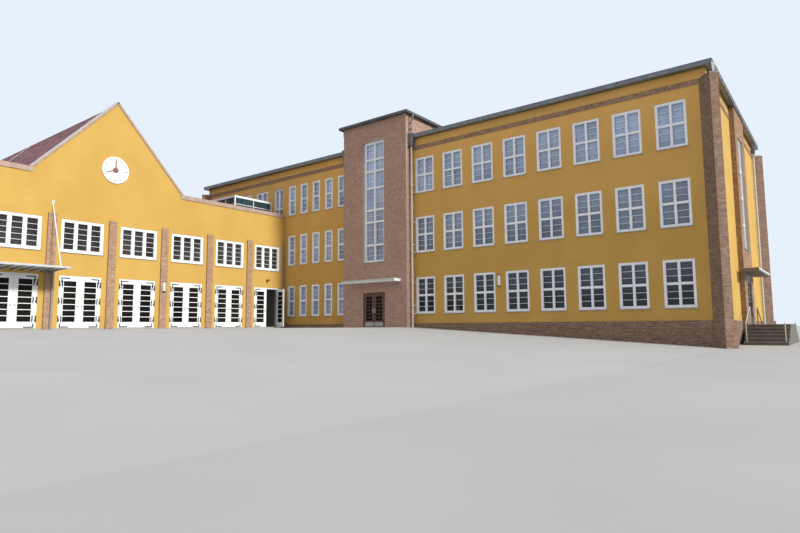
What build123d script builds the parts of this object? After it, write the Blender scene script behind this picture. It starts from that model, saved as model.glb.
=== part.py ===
from build123d import *
import os

# School building at half its real size, in millimetres.
# X runs along the front of the main wing, Y runs away from the viewer, Z is up.
# The origin is at the lowest ground level, in the face of the front wall,
# on the axis of the first window right of the stair tower.

# Levels
main_floor_level = 500
storey = 1892
storeys = 3
floor_thickness = 150
plinth_top = 610
plinth_step = 15
wall = 200
joint_gap = 0.5

# Main wing
bay = 1025
right_bays = 8
end_margin = 800
main_depth = 8139
wall_head = 279
wall_top = main_floor_level + storeys * storey + wall_head
band_drop = 366
band_height = 133
band_bottom = wall_top - band_drop
band_top = band_bottom + band_height
band_step = 12
upper_wing_length = 4924

# Windows of the main wing
window_width = 700
window_height = 1125
window_sill = 908
frame_member = 56
frame_depth = 70
frame_set_back = 12
mullion = 46
glass_thickness = 10
narrow_width = 390
narrow_pitch = 638
narrow_count = 5
narrow_margin = 389
narrow_member = 58
hall_side_margin = 395

# Roof of the main wing
eaves_overhang = 164
gutter_height = 115
gutter_top = wall_top + gutter_height
gutter_width = 110
roof_rise = 600
roof_shell = 60

# Stair tower
tower_margin = 487
tower_width = 2660
tower_projection = 308
tower_depth = 2358
tower_rise = 675
tower_top = gutter_top + tower_rise
tower_roof_thickness = 74
tower_roof_overhang = 123
tower_roof_chamfer = 18
tower_window_width = 866
tower_window_sill = 2593
tower_lintel = 644
tower_window_head = tower_top - tower_lintel
tower_window_set_back = 55
tall_member = 60
tall_mullion = 50
tower_transoms = [tower_window_sill + rise for rise in (564, 1323, 1722, 2460, 3024, 3413)]

# Timber double doors of the tower and the end bay
timber_door_width = 912
tower_door_head = 1609
end_door_head = 1804

# End bays
end_bay_width = 1742
end_bay_projection = 123
end_window_width = 871
end_window_sill = 2573
end_lintel = 684
end_window_head = wall_top - end_lintel
end_transoms = [end_window_sill + rise for rise in (727, 1507, 2287)]

# Corner buttresses
buttress_width = 215
buttress_reach = 277
buttress_drop = 245
buttress_top = wall_top - buttress_drop
buttress_foot_width = 287
buttress_foot_reach = 320
buttress_turn = 45

# Upper storey over the hall roof
terrace_door_width = 543
terrace_door_margin = 409
upper_window_margin = 1357
upper_windows = 3

# Hall
hall_wall = 240
hall_bay = 1620
hall_bays = 8
hall_depth_bays = 6
hall_floor_level = 530
hall_upper_floor = 2170
hall_wall_top = 4626
parapet_height = 362
coping_height = 130
coping_lip = 20
hall_roof_level = hall_wall_top - parapet_height
pilaster_width = 215
pilaster_step = 48
pilaster_top = 3598
hall_window_width = 1133
hall_window_sill = 2586
hall_window_height = 896
hall_low_sill = 960
hall_member = 74
hall_lights = 3
hall_mullion = 84
hall_door_width = 1111
hall_door_head = 1943
gable_half = 2214
gable_peak = 7185
gable_roof_drop = 110
gable_roof_shell = 90
gable_coping = 70

# Door leaves
door_frame_member = 40
door_frame_depth = 90
door_frame_set_back = 10
leaf_thickness = 30
leaf_gap = 6
leaf_floor_gap = 9
outer_stile = 72
meeting_stile = 96
hall_bottom_rail = 150
hall_top_rail = 88
timber_bottom_rail = 190
timber_top_rail = 80
timber_stile = 70
hinge_radius = 8
hinge_length = 34
hinge_heights = (0.16, 0.52, 0.86)
hinge_gap = 0.3
hinge_plate = 4
hinge_flats = 6
leaf_plate = 32
post_plate = 24
open_doors = 6
open_leaf_angle = 78

# Clock
clock_level = 5111
clock_radius = 387
clock_thickness = 24
clock_hub_flats = 12
clock_hub_radius = 45
clock_hand_thickness = 6
clock_hour_hand = 190
clock_minute_hand = 300
clock_hand_width = 26
clock_hour_angle = 351
clock_minute_angle = 258

# Canopies
tower_canopy_width = 2184
tower_canopy_reach = 328
tower_canopy_bottom = 1917
tower_canopy_thickness = 82
end_canopy_width = 2500
end_canopy_reach = 380
end_canopy_bottom = 1890
hall_canopy_width = 1825
hall_canopy_reach = 1025
hall_canopy_top = 2091
hall_canopy_thickness = 40
canopy_rib_width = 30
canopy_rib_depth = 70
canopy_rib_end = 10
canopy_rib_margin = 115
canopy_ribs = 8
hall_canopy_bay = 6
canopy_rod_radius = 12
tube_flats = 8
canopy_rod_top = 3906
canopy_rod_reach = 717
canopy_rod_depth = 22

# Steps at the end door
landing_level = 515
landing_reach = 945
step_count = 6
step_going = 185
rail_height = 460
rail_radius = 14
rail_inset = 60

# Glazed pavilion on the terrace
pavilion_right = 794
pavilion_width = 2252
pavilion_depth = 1706
pavilion_height = 1076
pavilion_top = hall_roof_level + pavilion_height
pavilion_post = 40
pavilion_fascia = 70

# Rainwater pipes
pipe_radius = 25
pipe_bracket = 36
pipe_bracket_height = 20
pipe_bracket_levels = (1150, 3050, 4950)
hopper_depth = 155
tower_pipe_place = 95
tower_pipe_centre = 137
hopper_drop = 370
hopper_lip = 20
tower_hopper = (190, 110, gutter_top - hopper_drop, gutter_top + hopper_lip)
swan_neck_shift = 58
swan_neck_drop = 225
swan_neck_bend = 90
swan_neck_lip = 25
end_pipe_place = 420
end_pipe_centre = 67
end_hopper_height = 250
end_hopper = (170, 110, wall_top - hopper_drop, wall_top - hopper_drop + end_hopper_height)
end_hopper_depth = 110
corner_hopper_height = 215
corner_hopper = (90, 60, wall_top - corner_hopper_height)
canopy_pipe_place = 60
canopy_pipe_gap = 5

# Wall lamps
lamp_radius = 42
lamp_bottom = 1640
lamp_height = 290
lamp_plate = 12
lamp_place = 2522
lamp_pilaster = 3
door_lamp_level = 2180
door_lamp_size = 60

# Places worked out from the sizes above
main_right = (right_bays - 1) * bay + end_margin
tower_right = -tower_margin
tower_left = tower_right - tower_width
tower_middle = (tower_left + tower_right) / 2
narrow_first = tower_left - narrow_margin
hall_face = narrow_first - (narrow_count - 1) * narrow_pitch - hall_side_margin
main_left = hall_face - upper_wing_length
hall_length = hall_bays * hall_bay
hall_depth = hall_depth_bays * hall_bay
hall_rear = hall_face - hall_depth
hall_end = -hall_length
hall_axis = hall_end / 2
main_middle = main_depth / 2


def block(x0, x1, y0, y1, z0, z1):
    """A plain block between two corners."""
    size = (x1 - x0, y1 - y0, z1 - z0)
    return Pos(x0, y0, z0) * Box(*size, align=(Align.MIN, Align.MIN, Align.MIN))


def cut(body, cutters):
    """The body with each cutter taken away."""
    for cutter in cutters:
        body = body - cutter
    return body


def save(name, shapes):
    """Write one node made of one or more solids."""
    solids = []
    for shape in shapes:
        solids.extend(shape.solids())
    export_step(Compound(children=solids) if len(solids) > 1 else solids[0], f"parts/{name}.step")


# A wall is drawn along local X with its outer face at Y = 0 and its depth towards +Y.
front_side = Location((0, 0, 0), (0, 0, 0))
rear_side = Location((0, main_depth, 0), (0, 0, 180))
hall_front = Location((hall_face, 0, 0), (0, 0, 90))
hall_back = Location((hall_rear, 0, 0), (0, 0, -90))
hall_far_end = Location((0, hall_end, 0), (0, 0, 0))
tower_front = Location((0, -tower_projection, 0), (0, 0, 0))
right_bay_face = Location((main_right + end_bay_projection, 0, 0), (0, 0, 90))
left_bay_face = Location((main_left - end_bay_projection, 0, 0), (0, 0, -90))


def holes(places, width, bottom, height, depth):
    """Window holes of one row, cut through a wall of this depth."""
    half = width / 2
    return [block(u - half, u + half, -1, depth + 1, bottom, bottom + height) for u in places]


def window_frame(u, width, bottom, height, member, mullions, transoms, set_back, bar=mullion):
    """A frame round one window hole, with upright and cross members."""
    half = width / 2
    far = set_back + frame_depth
    top = bottom + height
    frame = block(u - half, u + half, set_back, far, bottom, top)
    inner_left = u - half + member
    inner_right = u + half - member
    columns = [inner_left] + [u + m for m in mullions] + [inner_right]
    rows = [bottom + member] + list(transoms) + [top - member]
    for i in range(len(columns) - 1):
        left = columns[i] + (bar / 2 if i else 0)
        right = columns[i + 1] - (bar / 2 if i < len(columns) - 2 else 0)
        for j in range(len(rows) - 1):
            low = rows[j] + (bar / 2 if j else 0)
            high = rows[j + 1] - (bar / 2 if j < len(rows) - 2 else 0)
            frame = frame - block(left, right, set_back - 1, far + 1, low, high)
    return frame


def window_glass(u, width, bottom, height, member, set_back):
    """One sheet of glass that lies against the back of its frame."""
    half = width / 2 - member / 2
    near = set_back + frame_depth
    return block(u - half, u + half, near, near + glass_thickness,
                 bottom + member / 2, bottom + height - member / 2)


def storey_sills(first, count):
    """Sill heights of the storeys."""
    return [first + storey * i for i in range(count)]


wide_places = [bay * i for i in range(right_bays)]
narrow_places = [narrow_first - narrow_pitch * i for i in range(narrow_count)]
upper_places = [hall_face - upper_window_margin - bay * i for i in range(upper_windows)]
rear_count = int((main_right - main_left) // bay)
rear_places = [-(bay * i) for i in range(right_bays - rear_count, right_bays)]
terrace_door_place = hall_face - terrace_door_margin
hall_places = [-(i + 0.5) * hall_bay for i in range(hall_bays)]
hall_end_places = [hall_face - (i + 0.5) * hall_bay for i in range(hall_depth_bays)]
sills = storey_sills(window_sill, storeys)
top_sill = sills[-1]


def window_set(places, rows, width, height, member, mullions, place, set_back=frame_set_back,
               bar=mullion):
    """Frames and glass of one kind of window on one wall."""
    frames = []
    panes = []
    for bottom in rows:
        for u in places:
            frame = window_frame(u, width, bottom, height, member, mullions, [], set_back, bar)
            pane = window_glass(u, width, bottom, height, member, set_back)
            frames.append(frame.moved(place))
            panes.append(pane.moved(place))
    return frames, panes


def glass_band(start, end, depth, rows, height, place):
    """One sheet of glass a storey, behind the windows of a wall of this depth."""
    return [block(start, end, depth, depth + glass_thickness, bottom, bottom + height).moved(place)
            for bottom in rows]


def make_plinth():
    """The brick base of the main wing, down to the lowest ground."""
    low_bay = main_middle - end_bay_width / 2
    high_bay = main_middle + end_bay_width / 2
    g = joint_gap
    p = plinth_step
    rear_face = main_depth + p
    runs = [
        block(tower_right, main_right + p, -p, wall, 0, plinth_top),
        block(hall_face, tower_left, -p, wall, 0, plinth_top),
        block(main_left, hall_face - g, 0, wall, 0, plinth_top),
        block(main_left - p, main_right + p, main_depth - wall, rear_face, 0, plinth_top),
    ]
    for y0, y1 in ((wall + g, low_bay), (high_bay, main_depth - wall - g)):
        runs.append(block(main_right - wall, main_right + p, y0, y1, 0, plinth_top))
        runs.append(block(main_left - p, main_left + wall, y0, y1, 0, plinth_top))
    save("main_plinth", runs)


def make_front_wall():
    """The front of the main wing in three lengths, with its window holes."""
    right = block(tower_right, main_right, 0, wall, plinth_top, wall_top)
    left = block(hall_face, tower_left, 0, wall, plinth_top, wall_top)
    upper = block(main_left, hall_face - joint_gap, 0, wall, plinth_top, wall_top)
    for bottom in sills:
        right = cut(right, holes(wide_places, window_width, bottom, window_height, wall))
        left = cut(left, holes(narrow_places, narrow_width, bottom, window_height, wall))
    upper = cut(upper, holes(upper_places, window_width, top_sill, window_height, wall))
    door_height = top_sill + window_height - hall_roof_level
    upper = cut(upper, holes([terrace_door_place], terrace_door_width, hall_roof_level,
                             door_height, wall))
    save("main_front_wall", [right, left, upper])


def make_rear_wall():
    """The rear of the main wing, with window holes in all storeys."""
    body = block(-main_right, -main_left, 0, wall, plinth_top, wall_top)
    for bottom in sills:
        body = cut(body, holes(rear_places, window_width, bottom, window_height, wall))
    save("main_rear_wall", [body.moved(rear_side)])


def make_end_walls():
    """The plastered walls each side of the brick bay at both ends."""
    low_bay = main_middle - end_bay_width / 2
    high_bay = main_middle + end_bay_width / 2
    slabs = []
    for x0, x1 in ((main_right - wall, main_right), (main_left, main_left + wall)):
        slabs.append(block(x0, x1, wall, low_bay, plinth_top, wall_top))
        slabs.append(block(x0, x1, high_bay, main_depth - wall, plinth_top, wall_top))
    save("main_end_walls", slabs)


def door_piers(middle, half, depth, head, level, place):
    """Brick piers each side of a doorway and the threshold between them."""
    door = timber_door_width / 2
    g = joint_gap
    piers = [
        block(middle - half, middle - door, 0, depth, 0, head),
        block(middle + door, middle + half, 0, depth, 0, head),
        block(middle - door + g, middle + door - g, 0, depth, 0, level),
    ]
    return [pier.moved(place) for pier in piers]


def make_door_piers():
    """The brickwork beside and under the tower door and the end door."""
    tower = door_piers(tower_middle, tower_width / 2, wall, tower_door_head, main_floor_level,
                       tower_front)
    end = door_piers(main_middle, end_bay_width / 2, wall + end_bay_projection, end_door_head,
                     landing_level, right_bay_face)
    save("brick_door_piers", tower + end)


def make_end_bays():
    """Brick bays in the middle of both ends, each with its tall window hole."""
    half = end_bay_width / 2
    depth = wall + end_bay_projection
    height = end_window_head - end_window_sill
    over = block(main_middle - half, main_middle + half, 0, depth, end_door_head, wall_top)
    over = cut(over, holes([main_middle], end_window_width, end_window_sill, height, depth))
    blind = block(-main_middle - half, -main_middle + half, 0, depth, 0, wall_top)
    blind = cut(blind, holes([-main_middle], end_window_width, end_window_sill, height, depth))
    save("end_bay_walls", [over.moved(right_bay_face), blind.moved(left_bay_face)])


def make_band():
    """The brick string course below the eaves, run by run."""
    step = band_step
    low_bay = main_middle - end_bay_width / 2
    high_bay = main_middle + end_bay_width / 2
    inset = buttress_width / 2 ** 0.5
    runs = []
    for x0, x1 in ((tower_right, main_right - inset), (main_left + inset, tower_left)):
        runs.append(block(x0, x1, -step, 0, band_bottom, band_top))
    runs.append(block(main_left + inset, main_right - inset, main_depth, main_depth + step,
                      band_bottom, band_top))
    for y0, y1 in ((inset, low_bay), (high_bay, main_depth - inset)):
        runs.append(block(main_right, main_right + step, y0, y1, band_bottom, band_top))
        runs.append(block(main_left - step, main_left, y0, y1, band_bottom, band_top))
    save("brick_band", runs)


def buttress(x, y, turn, bottom):
    """A brick buttress set diagonally on one corner, cut to the walls it leans on."""
    half = buttress_width / 2
    shaft = block(0, buttress_reach, -half, half, bottom, buttress_top)
    inner = block(-buttress_width, 0, -half, half, bottom, buttress_top)
    body = shaft + inner
    if bottom < plinth_top:
        foot_half = buttress_foot_width / 2
        foot = block(-buttress_foot_width, buttress_foot_reach, -foot_half, foot_half,
                     bottom, plinth_top)
        body = body + foot
    return body.moved(Location((x, y, 0), (0, 0, turn)))


def make_buttresses():
    """The four diagonal corner buttresses, the front left one standing on the hall."""
    turn = buttress_turn
    corners = (
        (main_right, 0, -turn, 0),
        (main_right, main_depth, turn, 0),
        (main_left, main_depth, 180 - turn, 0),
        (main_left, 0, turn - 180, hall_wall_top + coping_height),
    )
    p = plinth_step
    building = block(main_left - p, main_right + p, -p, main_depth + p, -1, plinth_top)
    building = building + block(main_left, main_right, 0, main_depth, plinth_top, wall_top)
    save("corner_buttresses", [buttress(*corner) - building for corner in corners])


def floor_levels():
    """Top faces of the main wing's floors, the last one under the roof."""
    return [main_floor_level + storey * i for i in range(storeys + 1)]


def make_floors():
    """Floors of the main wing, left, right and behind the stair tower, and of the hall."""
    g = joint_gap
    back = main_depth - wall
    tower_back = tower_depth - tower_projection
    slabs = []
    for top in floor_levels():
        low = top - floor_thickness
        slabs.append(block(main_left + wall, tower_left - g, wall, back, low, top))
        slabs.append(block(tower_right + g, main_right - wall, wall, back, low, top))
        slabs.append(block(tower_left, tower_right, tower_back, back, low, top))
    low = main_floor_level - floor_thickness
    slabs.append(block(tower_left + wall, tower_right - wall, -tower_projection + wall,
                       tower_back - g, low, main_floor_level))
    for top in (hall_floor_level, hall_upper_floor):
        slabs.append(block(hall_rear + hall_wall, hall_face - hall_wall, hall_end + hall_wall,
                           -hall_wall, top - floor_thickness, top))
    save("floors", slabs)


def hip(length, width, rise):
    """A hipped block: two ridge prisms at right angles, kept where both are solid."""
    along = Polyline((0, 0), (width, 0), (width / 2, rise), close=True)
    prism = Rot(0, 0, 90) * Rot(90, 0, 0) * extrude(make_face(along), length)
    slope = width / 2
    across = Polyline((0, 0), (length, 0), (length - slope, rise), (slope, rise), close=True)
    other = Rot(90, 0, 0) * extrude(make_face(across), -width)
    prism = prism.moved(Location((-prism.bounding_box().min.X, -prism.bounding_box().min.Y, 0)))
    other = other.moved(Location((-other.bounding_box().min.X, -other.bounding_box().min.Y, 0)))
    return prism & other


def tower_hole(bottom, top):
    """The space that the tower takes out of the roof."""
    return block(tower_left, tower_right, -tower_projection - eaves_overhang,
                 tower_depth - tower_projection, bottom, top)


def make_main_roof():
    """The low hipped roof shell and the gutter runs round its eaves."""
    inset = gutter_width
    x0 = main_left - eaves_overhang + inset
    x1 = main_right + eaves_overhang - inset
    y0 = -eaves_overhang + inset
    y1 = main_depth + eaves_overhang - inset
    outer = hip(x1 - x0, y1 - y0, roof_rise).moved(Location((x0, y0, wall_top + roof_shell)))
    outer = outer + block(x0, x1, y0, y1, wall_top, wall_top + roof_shell)
    inner = hip(x1 - x0, y1 - y0, roof_rise).moved(Location((x0, y0, wall_top)))
    inner = inner & block(main_left + wall, main_right - wall, wall, main_depth - wall,
                          wall_top - 1, wall_top + roof_rise)
    shell = outer - inner - tower_hole(wall_top - 1, tower_top)
    save("main_roof", [shell])
    g = joint_gap
    low = wall_top
    front = -eaves_overhang
    rear = main_depth + eaves_overhang
    left = main_left - eaves_overhang
    right = main_right + eaves_overhang
    head = tower_pipe_place + tower_hopper[0] / 2 + g
    runs = [
        block(left, tower_left - head, front, y0, low, gutter_top),
        block(tower_right + head, right, front, y0, low, gutter_top),
        block(left, right, y1, rear, low, gutter_top),
        block(left, x0, y0 + g, y1 - g, low, gutter_top),
        block(x1, right, y0 + g, y1 - g, low, gutter_top),
    ]
    save("main_gutters", runs)


def make_tower_walls():
    """Front wall over the doorway, side walls, and the back wall above the roof."""
    inner_left = tower_left + wall
    inner_right = tower_right - wall
    front = block(tower_left, tower_right, 0, wall, tower_door_head, tower_top)
    height = tower_window_head - tower_window_sill
    front = cut(front, holes([tower_middle], tower_window_width, tower_window_sill, height, wall))
    save("tower_front_wall", [front.moved(tower_front)])
    y0 = -tower_projection + wall
    y1 = tower_depth - tower_projection
    low = floor_levels()[-1] - floor_thickness
    g = joint_gap
    sides = [
        block(tower_left, inner_left, y0, y1, 0, tower_top),
        block(inner_right, tower_right, y0, y1, 0, tower_top),
        block(inner_left + g, inner_right - g, y1 - wall, y1, low, tower_top),
    ]
    save("tower_side_walls", sides)


def make_tower_roof():
    """The flat slab roof of the tower."""
    lip = tower_roof_overhang
    slab = block(tower_left - lip, tower_right + lip, -tower_projection - lip,
                 tower_depth - tower_projection + lip, tower_top,
                 tower_top + tower_roof_thickness)
    slab = chamfer(slab.faces().sort_by(Axis.Z)[0].edges(), tower_roof_chamfer)
    save("tower_roof", [slab])


def tall_windows():
    """The tall stair window and the two end windows, with their glass."""
    frames = []
    panes = []
    end = (end_window_width, end_window_sill, end_window_head, end_transoms)
    tower = (tower_window_width, tower_window_sill, tower_window_head, tower_transoms)
    specs = (
        (tower_middle, tower, tower_front),
        (main_middle, end, right_bay_face),
        (-main_middle, end, left_bay_face),
    )
    back = tower_window_set_back
    for u, (width, bottom, top, transoms), place in specs:
        height = top - bottom
        frame = window_frame(u, width, bottom, height, tall_member, [0], transoms, back,
                             tall_mullion)
        pane = window_glass(u, width, bottom, height, tall_member, back)
        frames.append(frame.moved(place))
        panes.append(pane.moved(place))
    return frames, panes


def make_main_windows():
    """Wide, narrow and tall windows of the main wing, the terrace door and their glass."""
    wide, wide_glass = window_set(wide_places, sills, window_width, window_height,
                                  frame_member, [0], front_side)
    upper, upper_glass = window_set(upper_places, [top_sill], window_width, window_height,
                                    frame_member, [0], front_side)
    narrow, narrow_glass = window_set(narrow_places, sills, narrow_width, window_height,
                                      narrow_member, [], front_side)
    rear, _ = window_set(rear_places, sills, window_width, window_height, frame_member, [],
                         rear_side)
    rear_glass = glass_band(wall - main_right, -main_left - wall, wall, sills, window_height,
                            rear_side)
    door_height = top_sill + window_height - hall_roof_level
    door, door_glass = window_set([terrace_door_place], [hall_roof_level], terrace_door_width,
                                  door_height, narrow_member, [0], front_side,
                                  tower_window_set_back)
    tall, tall_glass = tall_windows()
    save("wide_windows", wide + upper)
    save("narrow_windows", narrow + door)
    save("rear_windows", rear)
    save("tall_windows", tall)
    save("main_glass", wide_glass + upper_glass + narrow_glass + door_glass + rear_glass
         + tall_glass)


def hall_mullions():
    """Places of the uprights in a hall window, from its middle."""
    clear = hall_window_width - 2 * hall_member
    light = (clear - (hall_lights - 1) * hall_mullion) / hall_lights
    first = -clear / 2 + light + hall_mullion / 2
    return [first + (light + hall_mullion) * i for i in range(hall_lights - 1)]


def make_hall_windows():
    """The three-light windows of the hall and their glass."""
    rows = [hall_low_sill, hall_window_sill]
    back_places = [-u for u in hall_places]
    size = (hall_window_width, hall_window_height, hall_member)
    frames, panes = window_set(hall_places, rows[1:], *size, hall_mullions(), hall_front,
                               bar=hall_mullion)
    hidden = (
        (back_places, hall_back, hall_wall, -hall_end - hall_wall),
        (hall_end_places, hall_far_end, hall_rear + hall_wall + glass_thickness,
         hall_face - hall_wall),
    )
    for places, place, start, end in hidden:
        frames += window_set(places, rows, *size, [], place)[0]
        panes += glass_band(start, end, hall_wall, rows, hall_window_height, place)
    save("hall_windows", frames)
    save("hall_glass", panes + pavilion_glass())


def make_hall_base():
    """The masonry base under the hall walls, down to the lowest ground."""
    g = joint_gap
    top = hall_floor_level
    runs = [
        block(hall_face - hall_wall, hall_face, hall_end, -g, 0, top),
        block(hall_rear, hall_rear + hall_wall, hall_end, 0, 0, top),
        block(hall_rear + hall_wall + g, hall_face - hall_wall - g, hall_end,
              hall_end + hall_wall, 0, top),
        block(hall_rear + hall_wall + g, main_left, -hall_wall, 0, 0, top),
    ]
    save("hall_base", runs)


def make_hall_front():
    """Door piers, the wall over them with its window holes, and the two gables."""
    door = hall_door_width / 2
    edges = [0]
    for u in hall_places:
        edges += [u + door, u - door]
    edges.append(hall_end)
    piers = []
    for i in range(0, len(edges), 2):
        pier = block(edges[i + 1], edges[i], 0, hall_wall, hall_floor_level, hall_door_head)
        piers.append(pier.moved(hall_front))
    save("hall_door_piers", piers)
    upper = block(hall_end, 0, 0, hall_wall, hall_door_head, hall_wall_top)
    upper = cut(upper, holes(hall_places, hall_window_width, hall_window_sill,
                             hall_window_height, hall_wall))
    save("hall_front_wall", [upper.moved(hall_front)])


def gable_triangle(half, base, peak, depth):
    """A triangular wall across the hall's long axis, its outer face at Y = 0."""
    outline = Polyline((hall_axis - half, base), (hall_axis + half, base), (hall_axis, peak),
                       close=True)
    return Rot(90, 0, 0) * extrude(make_face(outline), -depth)


def gable_slope():
    """Rise of the gable for each unit of run."""
    return (gable_peak - hall_wall_top - coping_height) / gable_half


def gable_foot():
    """Half width of the gable masonry where it stands on the wall."""
    return (gable_peak - gable_coping - hall_wall_top) / gable_slope()


def gable_places():
    """Where the front and the back gable stand."""
    return hall_front, Location((hall_rear, hall_end, 0), (0, 0, -90))


def make_gables():
    """The masonry gables over the front and the back wall."""
    body = gable_triangle(gable_foot(), hall_wall_top, gable_peak - gable_coping, hall_wall)
    save("hall_gables", [body.moved(place) for place in gable_places()])


def roof_prism(drop):
    """The space inside the steep roof, this far below its upper face, between the gables."""
    peak = gable_peak - gable_roof_drop - drop
    half = (peak - hall_roof_level) / gable_slope()
    prism = gable_triangle(half, hall_roof_level, peak, hall_depth - 2 * hall_wall)
    return prism.moved(Location((0, hall_wall, 0)))


def sloping_copings():
    """The two sloping copings of a gable, which meet in a joint at its peak."""
    lip = coping_lip
    g = joint_gap
    top = hall_wall_top + coping_height
    grow = gable_coping / gable_slope()
    width = hall_wall + 2 * lip
    outer = gable_triangle(gable_foot() + grow, hall_wall_top, gable_peak, width)
    inner = gable_triangle(gable_foot(), hall_wall_top, gable_peak - gable_coping, 2 * width)
    both = outer.moved(Location((0, -lip, 0))) - inner.moved(Location((0, -width / 2, 0)))
    both = both - block(hall_end, 0, -width, 2 * width, 0, top + g)
    both = both - block(hall_axis - g, hall_axis + g, -width, 2 * width, 0, gable_peak + 1)
    return both.solids()


def level_copings(near, far):
    """Level copings each side of a gable, between these two ends."""
    lip = coping_lip
    low = hall_wall_top
    top = low + coping_height
    start = gable_foot() - coping_height / gable_slope()
    masonry = gable_triangle(gable_foot(), low, gable_peak - gable_coping, hall_wall)
    masonry = masonry + roof_prism(0)
    runs = [
        block(hall_axis + start, near, -lip, hall_wall + lip, low, top),
        block(far, hall_axis - start, -lip, hall_wall + lip, low, top),
    ]
    return [run - masonry for run in runs]


def make_copings():
    """Copings: level on the parapets and sloping on the gables."""
    lip = coping_lip
    g = joint_gap
    low = hall_wall_top
    top = low + coping_height
    front, back = gable_places()
    runs = [shape.moved(front) for shape in sloping_copings() + level_copings(-g, hall_end - lip)]
    runs += [shape.moved(back) for shape in sloping_copings() + level_copings(lip, hall_end + g)]
    x0 = hall_rear + hall_wall + lip + g
    x1 = hall_face - hall_wall - lip - g
    runs.append(block(x0, x1, hall_end - lip, hall_end + hall_wall + lip, low, top))
    runs.append(block(x0, main_left - g, -hall_wall - lip, -g, low, top))
    save("hall_copings", runs)


def make_pilasters():
    """Brick pilasters between the bays of the hall."""
    half = pilaster_width / 2
    step = pilaster_step
    solids = []
    for i in range(1, hall_bays + 1):
        y = -i * hall_bay
        low = max(y - half, hall_end)
        solids.append(block(hall_face, hall_face + step, low, y + half, 0, pilaster_top))
        solids.append(block(hall_rear - step, hall_rear, low, y + half, 0, pilaster_top))
    solids.append(block(hall_face, hall_face + step, -half, -plinth_step - 1, 0, pilaster_top))
    for i in range(1, hall_depth_bays):
        x = hall_face - i * hall_bay
        solids.append(block(x - half, x + half, hall_end - step, hall_end, 0, pilaster_top))
    save("hall_pilasters", solids)


def make_hall_walls():
    """The back, far end and near end walls of the hall."""
    low = hall_floor_level
    top = hall_wall_top
    t = hall_wall
    width = hall_window_width
    height = hall_window_height
    back = block(0, hall_length, 0, t, low, top)
    end = block(hall_rear + t, hall_face - t, 0, t, low, top)
    back_places = [-u for u in hall_places]
    for bottom in (hall_low_sill, hall_window_sill):
        back = cut(back, holes(back_places, width, bottom, height, t))
        end = cut(end, holes(hall_end_places, width, bottom, height, t))
    near = block(hall_rear + t, main_left, -t, 0, low, top)
    save("hall_back_wall", [back.moved(hall_back)])
    save("hall_end_walls", [end.moved(hall_far_end), near])


def make_hall_roofs():
    """The flat roof of the hall and the steep tiled roof shell between the gables."""
    t = hall_wall
    level = hall_roof_level
    flat = block(hall_rear + t, hall_face - t, hall_end + t, -t, level - floor_thickness, level)
    save("hall_flat_roof", [flat])
    drop = gable_roof_shell * (1 + gable_slope() ** 2) ** 0.5
    shell = roof_prism(0) - roof_prism(drop)
    save("hall_roof", [shell.moved(hall_front)])


def door_frame(u, width, floor, head, place):
    """Two posts and a head inside one doorway, as separate timbers."""
    half = width / 2
    near = door_frame_set_back
    far = near + door_frame_depth
    inner = half - door_frame_member
    soffit = head - door_frame_member
    timbers = [
        block(u - half, u - inner, near, far, floor, soffit - joint_gap),
        block(u + inner, u + half, near, far, floor, soffit - joint_gap),
        block(u - half, u + half, near, far, soffit, head),
    ]
    return [timber.moved(place) for timber in timbers]


def knuckle(u, z, length):
    """A hinge knuckle with flat sides, centred on the hinge axis."""
    prism = extrude(RegularPolygon(hinge_radius, hinge_flats), length)
    return prism.moved(Location((u, door_frame_set_back - hinge_radius, z)))


def hinge_levels(floor, head):
    """Heights of the hinges on one leaf."""
    low = floor + leaf_floor_gap
    high = head - door_frame_member - leaf_gap
    return [low + (high - low) * share for share in hinge_heights]


def leaf(u, side, width, floor, head, bottom_rail, top_rail, stiles, gap=leaf_gap,
         floor_gap=leaf_floor_gap):
    """One door leaf with its glazing hole."""
    half = width / 2 - door_frame_member
    outer = u + side * (half - gap)
    inner = u + side * gap / 2
    low = floor + floor_gap
    high = head - door_frame_member - gap
    x0, x1 = sorted((inner, outer))
    near = door_frame_set_back
    body = block(x0, x1, near, near + leaf_thickness, low, high)
    g0, g1 = sorted((inner + side * stiles[1], outer - side * stiles[0]))
    return body - block(g0, g1, near - 1, near + leaf_thickness + 1, low + bottom_rail,
                        high - top_rail)


def hinged_leaf(u, side, width, floor, head, bottom_rail, top_rail, stiles):
    """A leaf with its hinge plates and knuckles on its outer edge."""
    body = leaf(u, side, width, floor, head, bottom_rail, top_rail, stiles)
    axis = u + side * (width / 2 - door_frame_member - leaf_gap / 2)
    near = door_frame_set_back
    for z in hinge_levels(floor, head):
        p0, p1 = sorted((axis, axis - side * leaf_plate))
        plate = block(p0, p1, near - hinge_plate, near, z, z + hinge_length)
        body = body + plate + knuckle(axis, z, hinge_length)
    return body


def hinge_posts(u, side, width, floor, head):
    """The fixed halves of one leaf's hinges, on the frame."""
    half = width / 2 - door_frame_member
    axis = u + side * (half - leaf_gap / 2)
    near = door_frame_set_back
    solids = []
    for z in hinge_levels(floor, head):
        base = z - hinge_gap - hinge_length
        p0, p1 = sorted((axis, axis + side * post_plate))
        plate = block(p0, p1, near - hinge_plate, near, base, base + hinge_length)
        solids.append(plate + knuckle(axis, base, hinge_length))
    return solids


def hinge_axis(u, side, width, place):
    """The upright axis that one leaf turns on."""
    local = Vector(u + side * (width / 2 - door_frame_member - leaf_gap / 2),
                   door_frame_set_back - hinge_radius, 0)
    return Axis((place * Pos(local)).position, (0, 0, 1))


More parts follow.
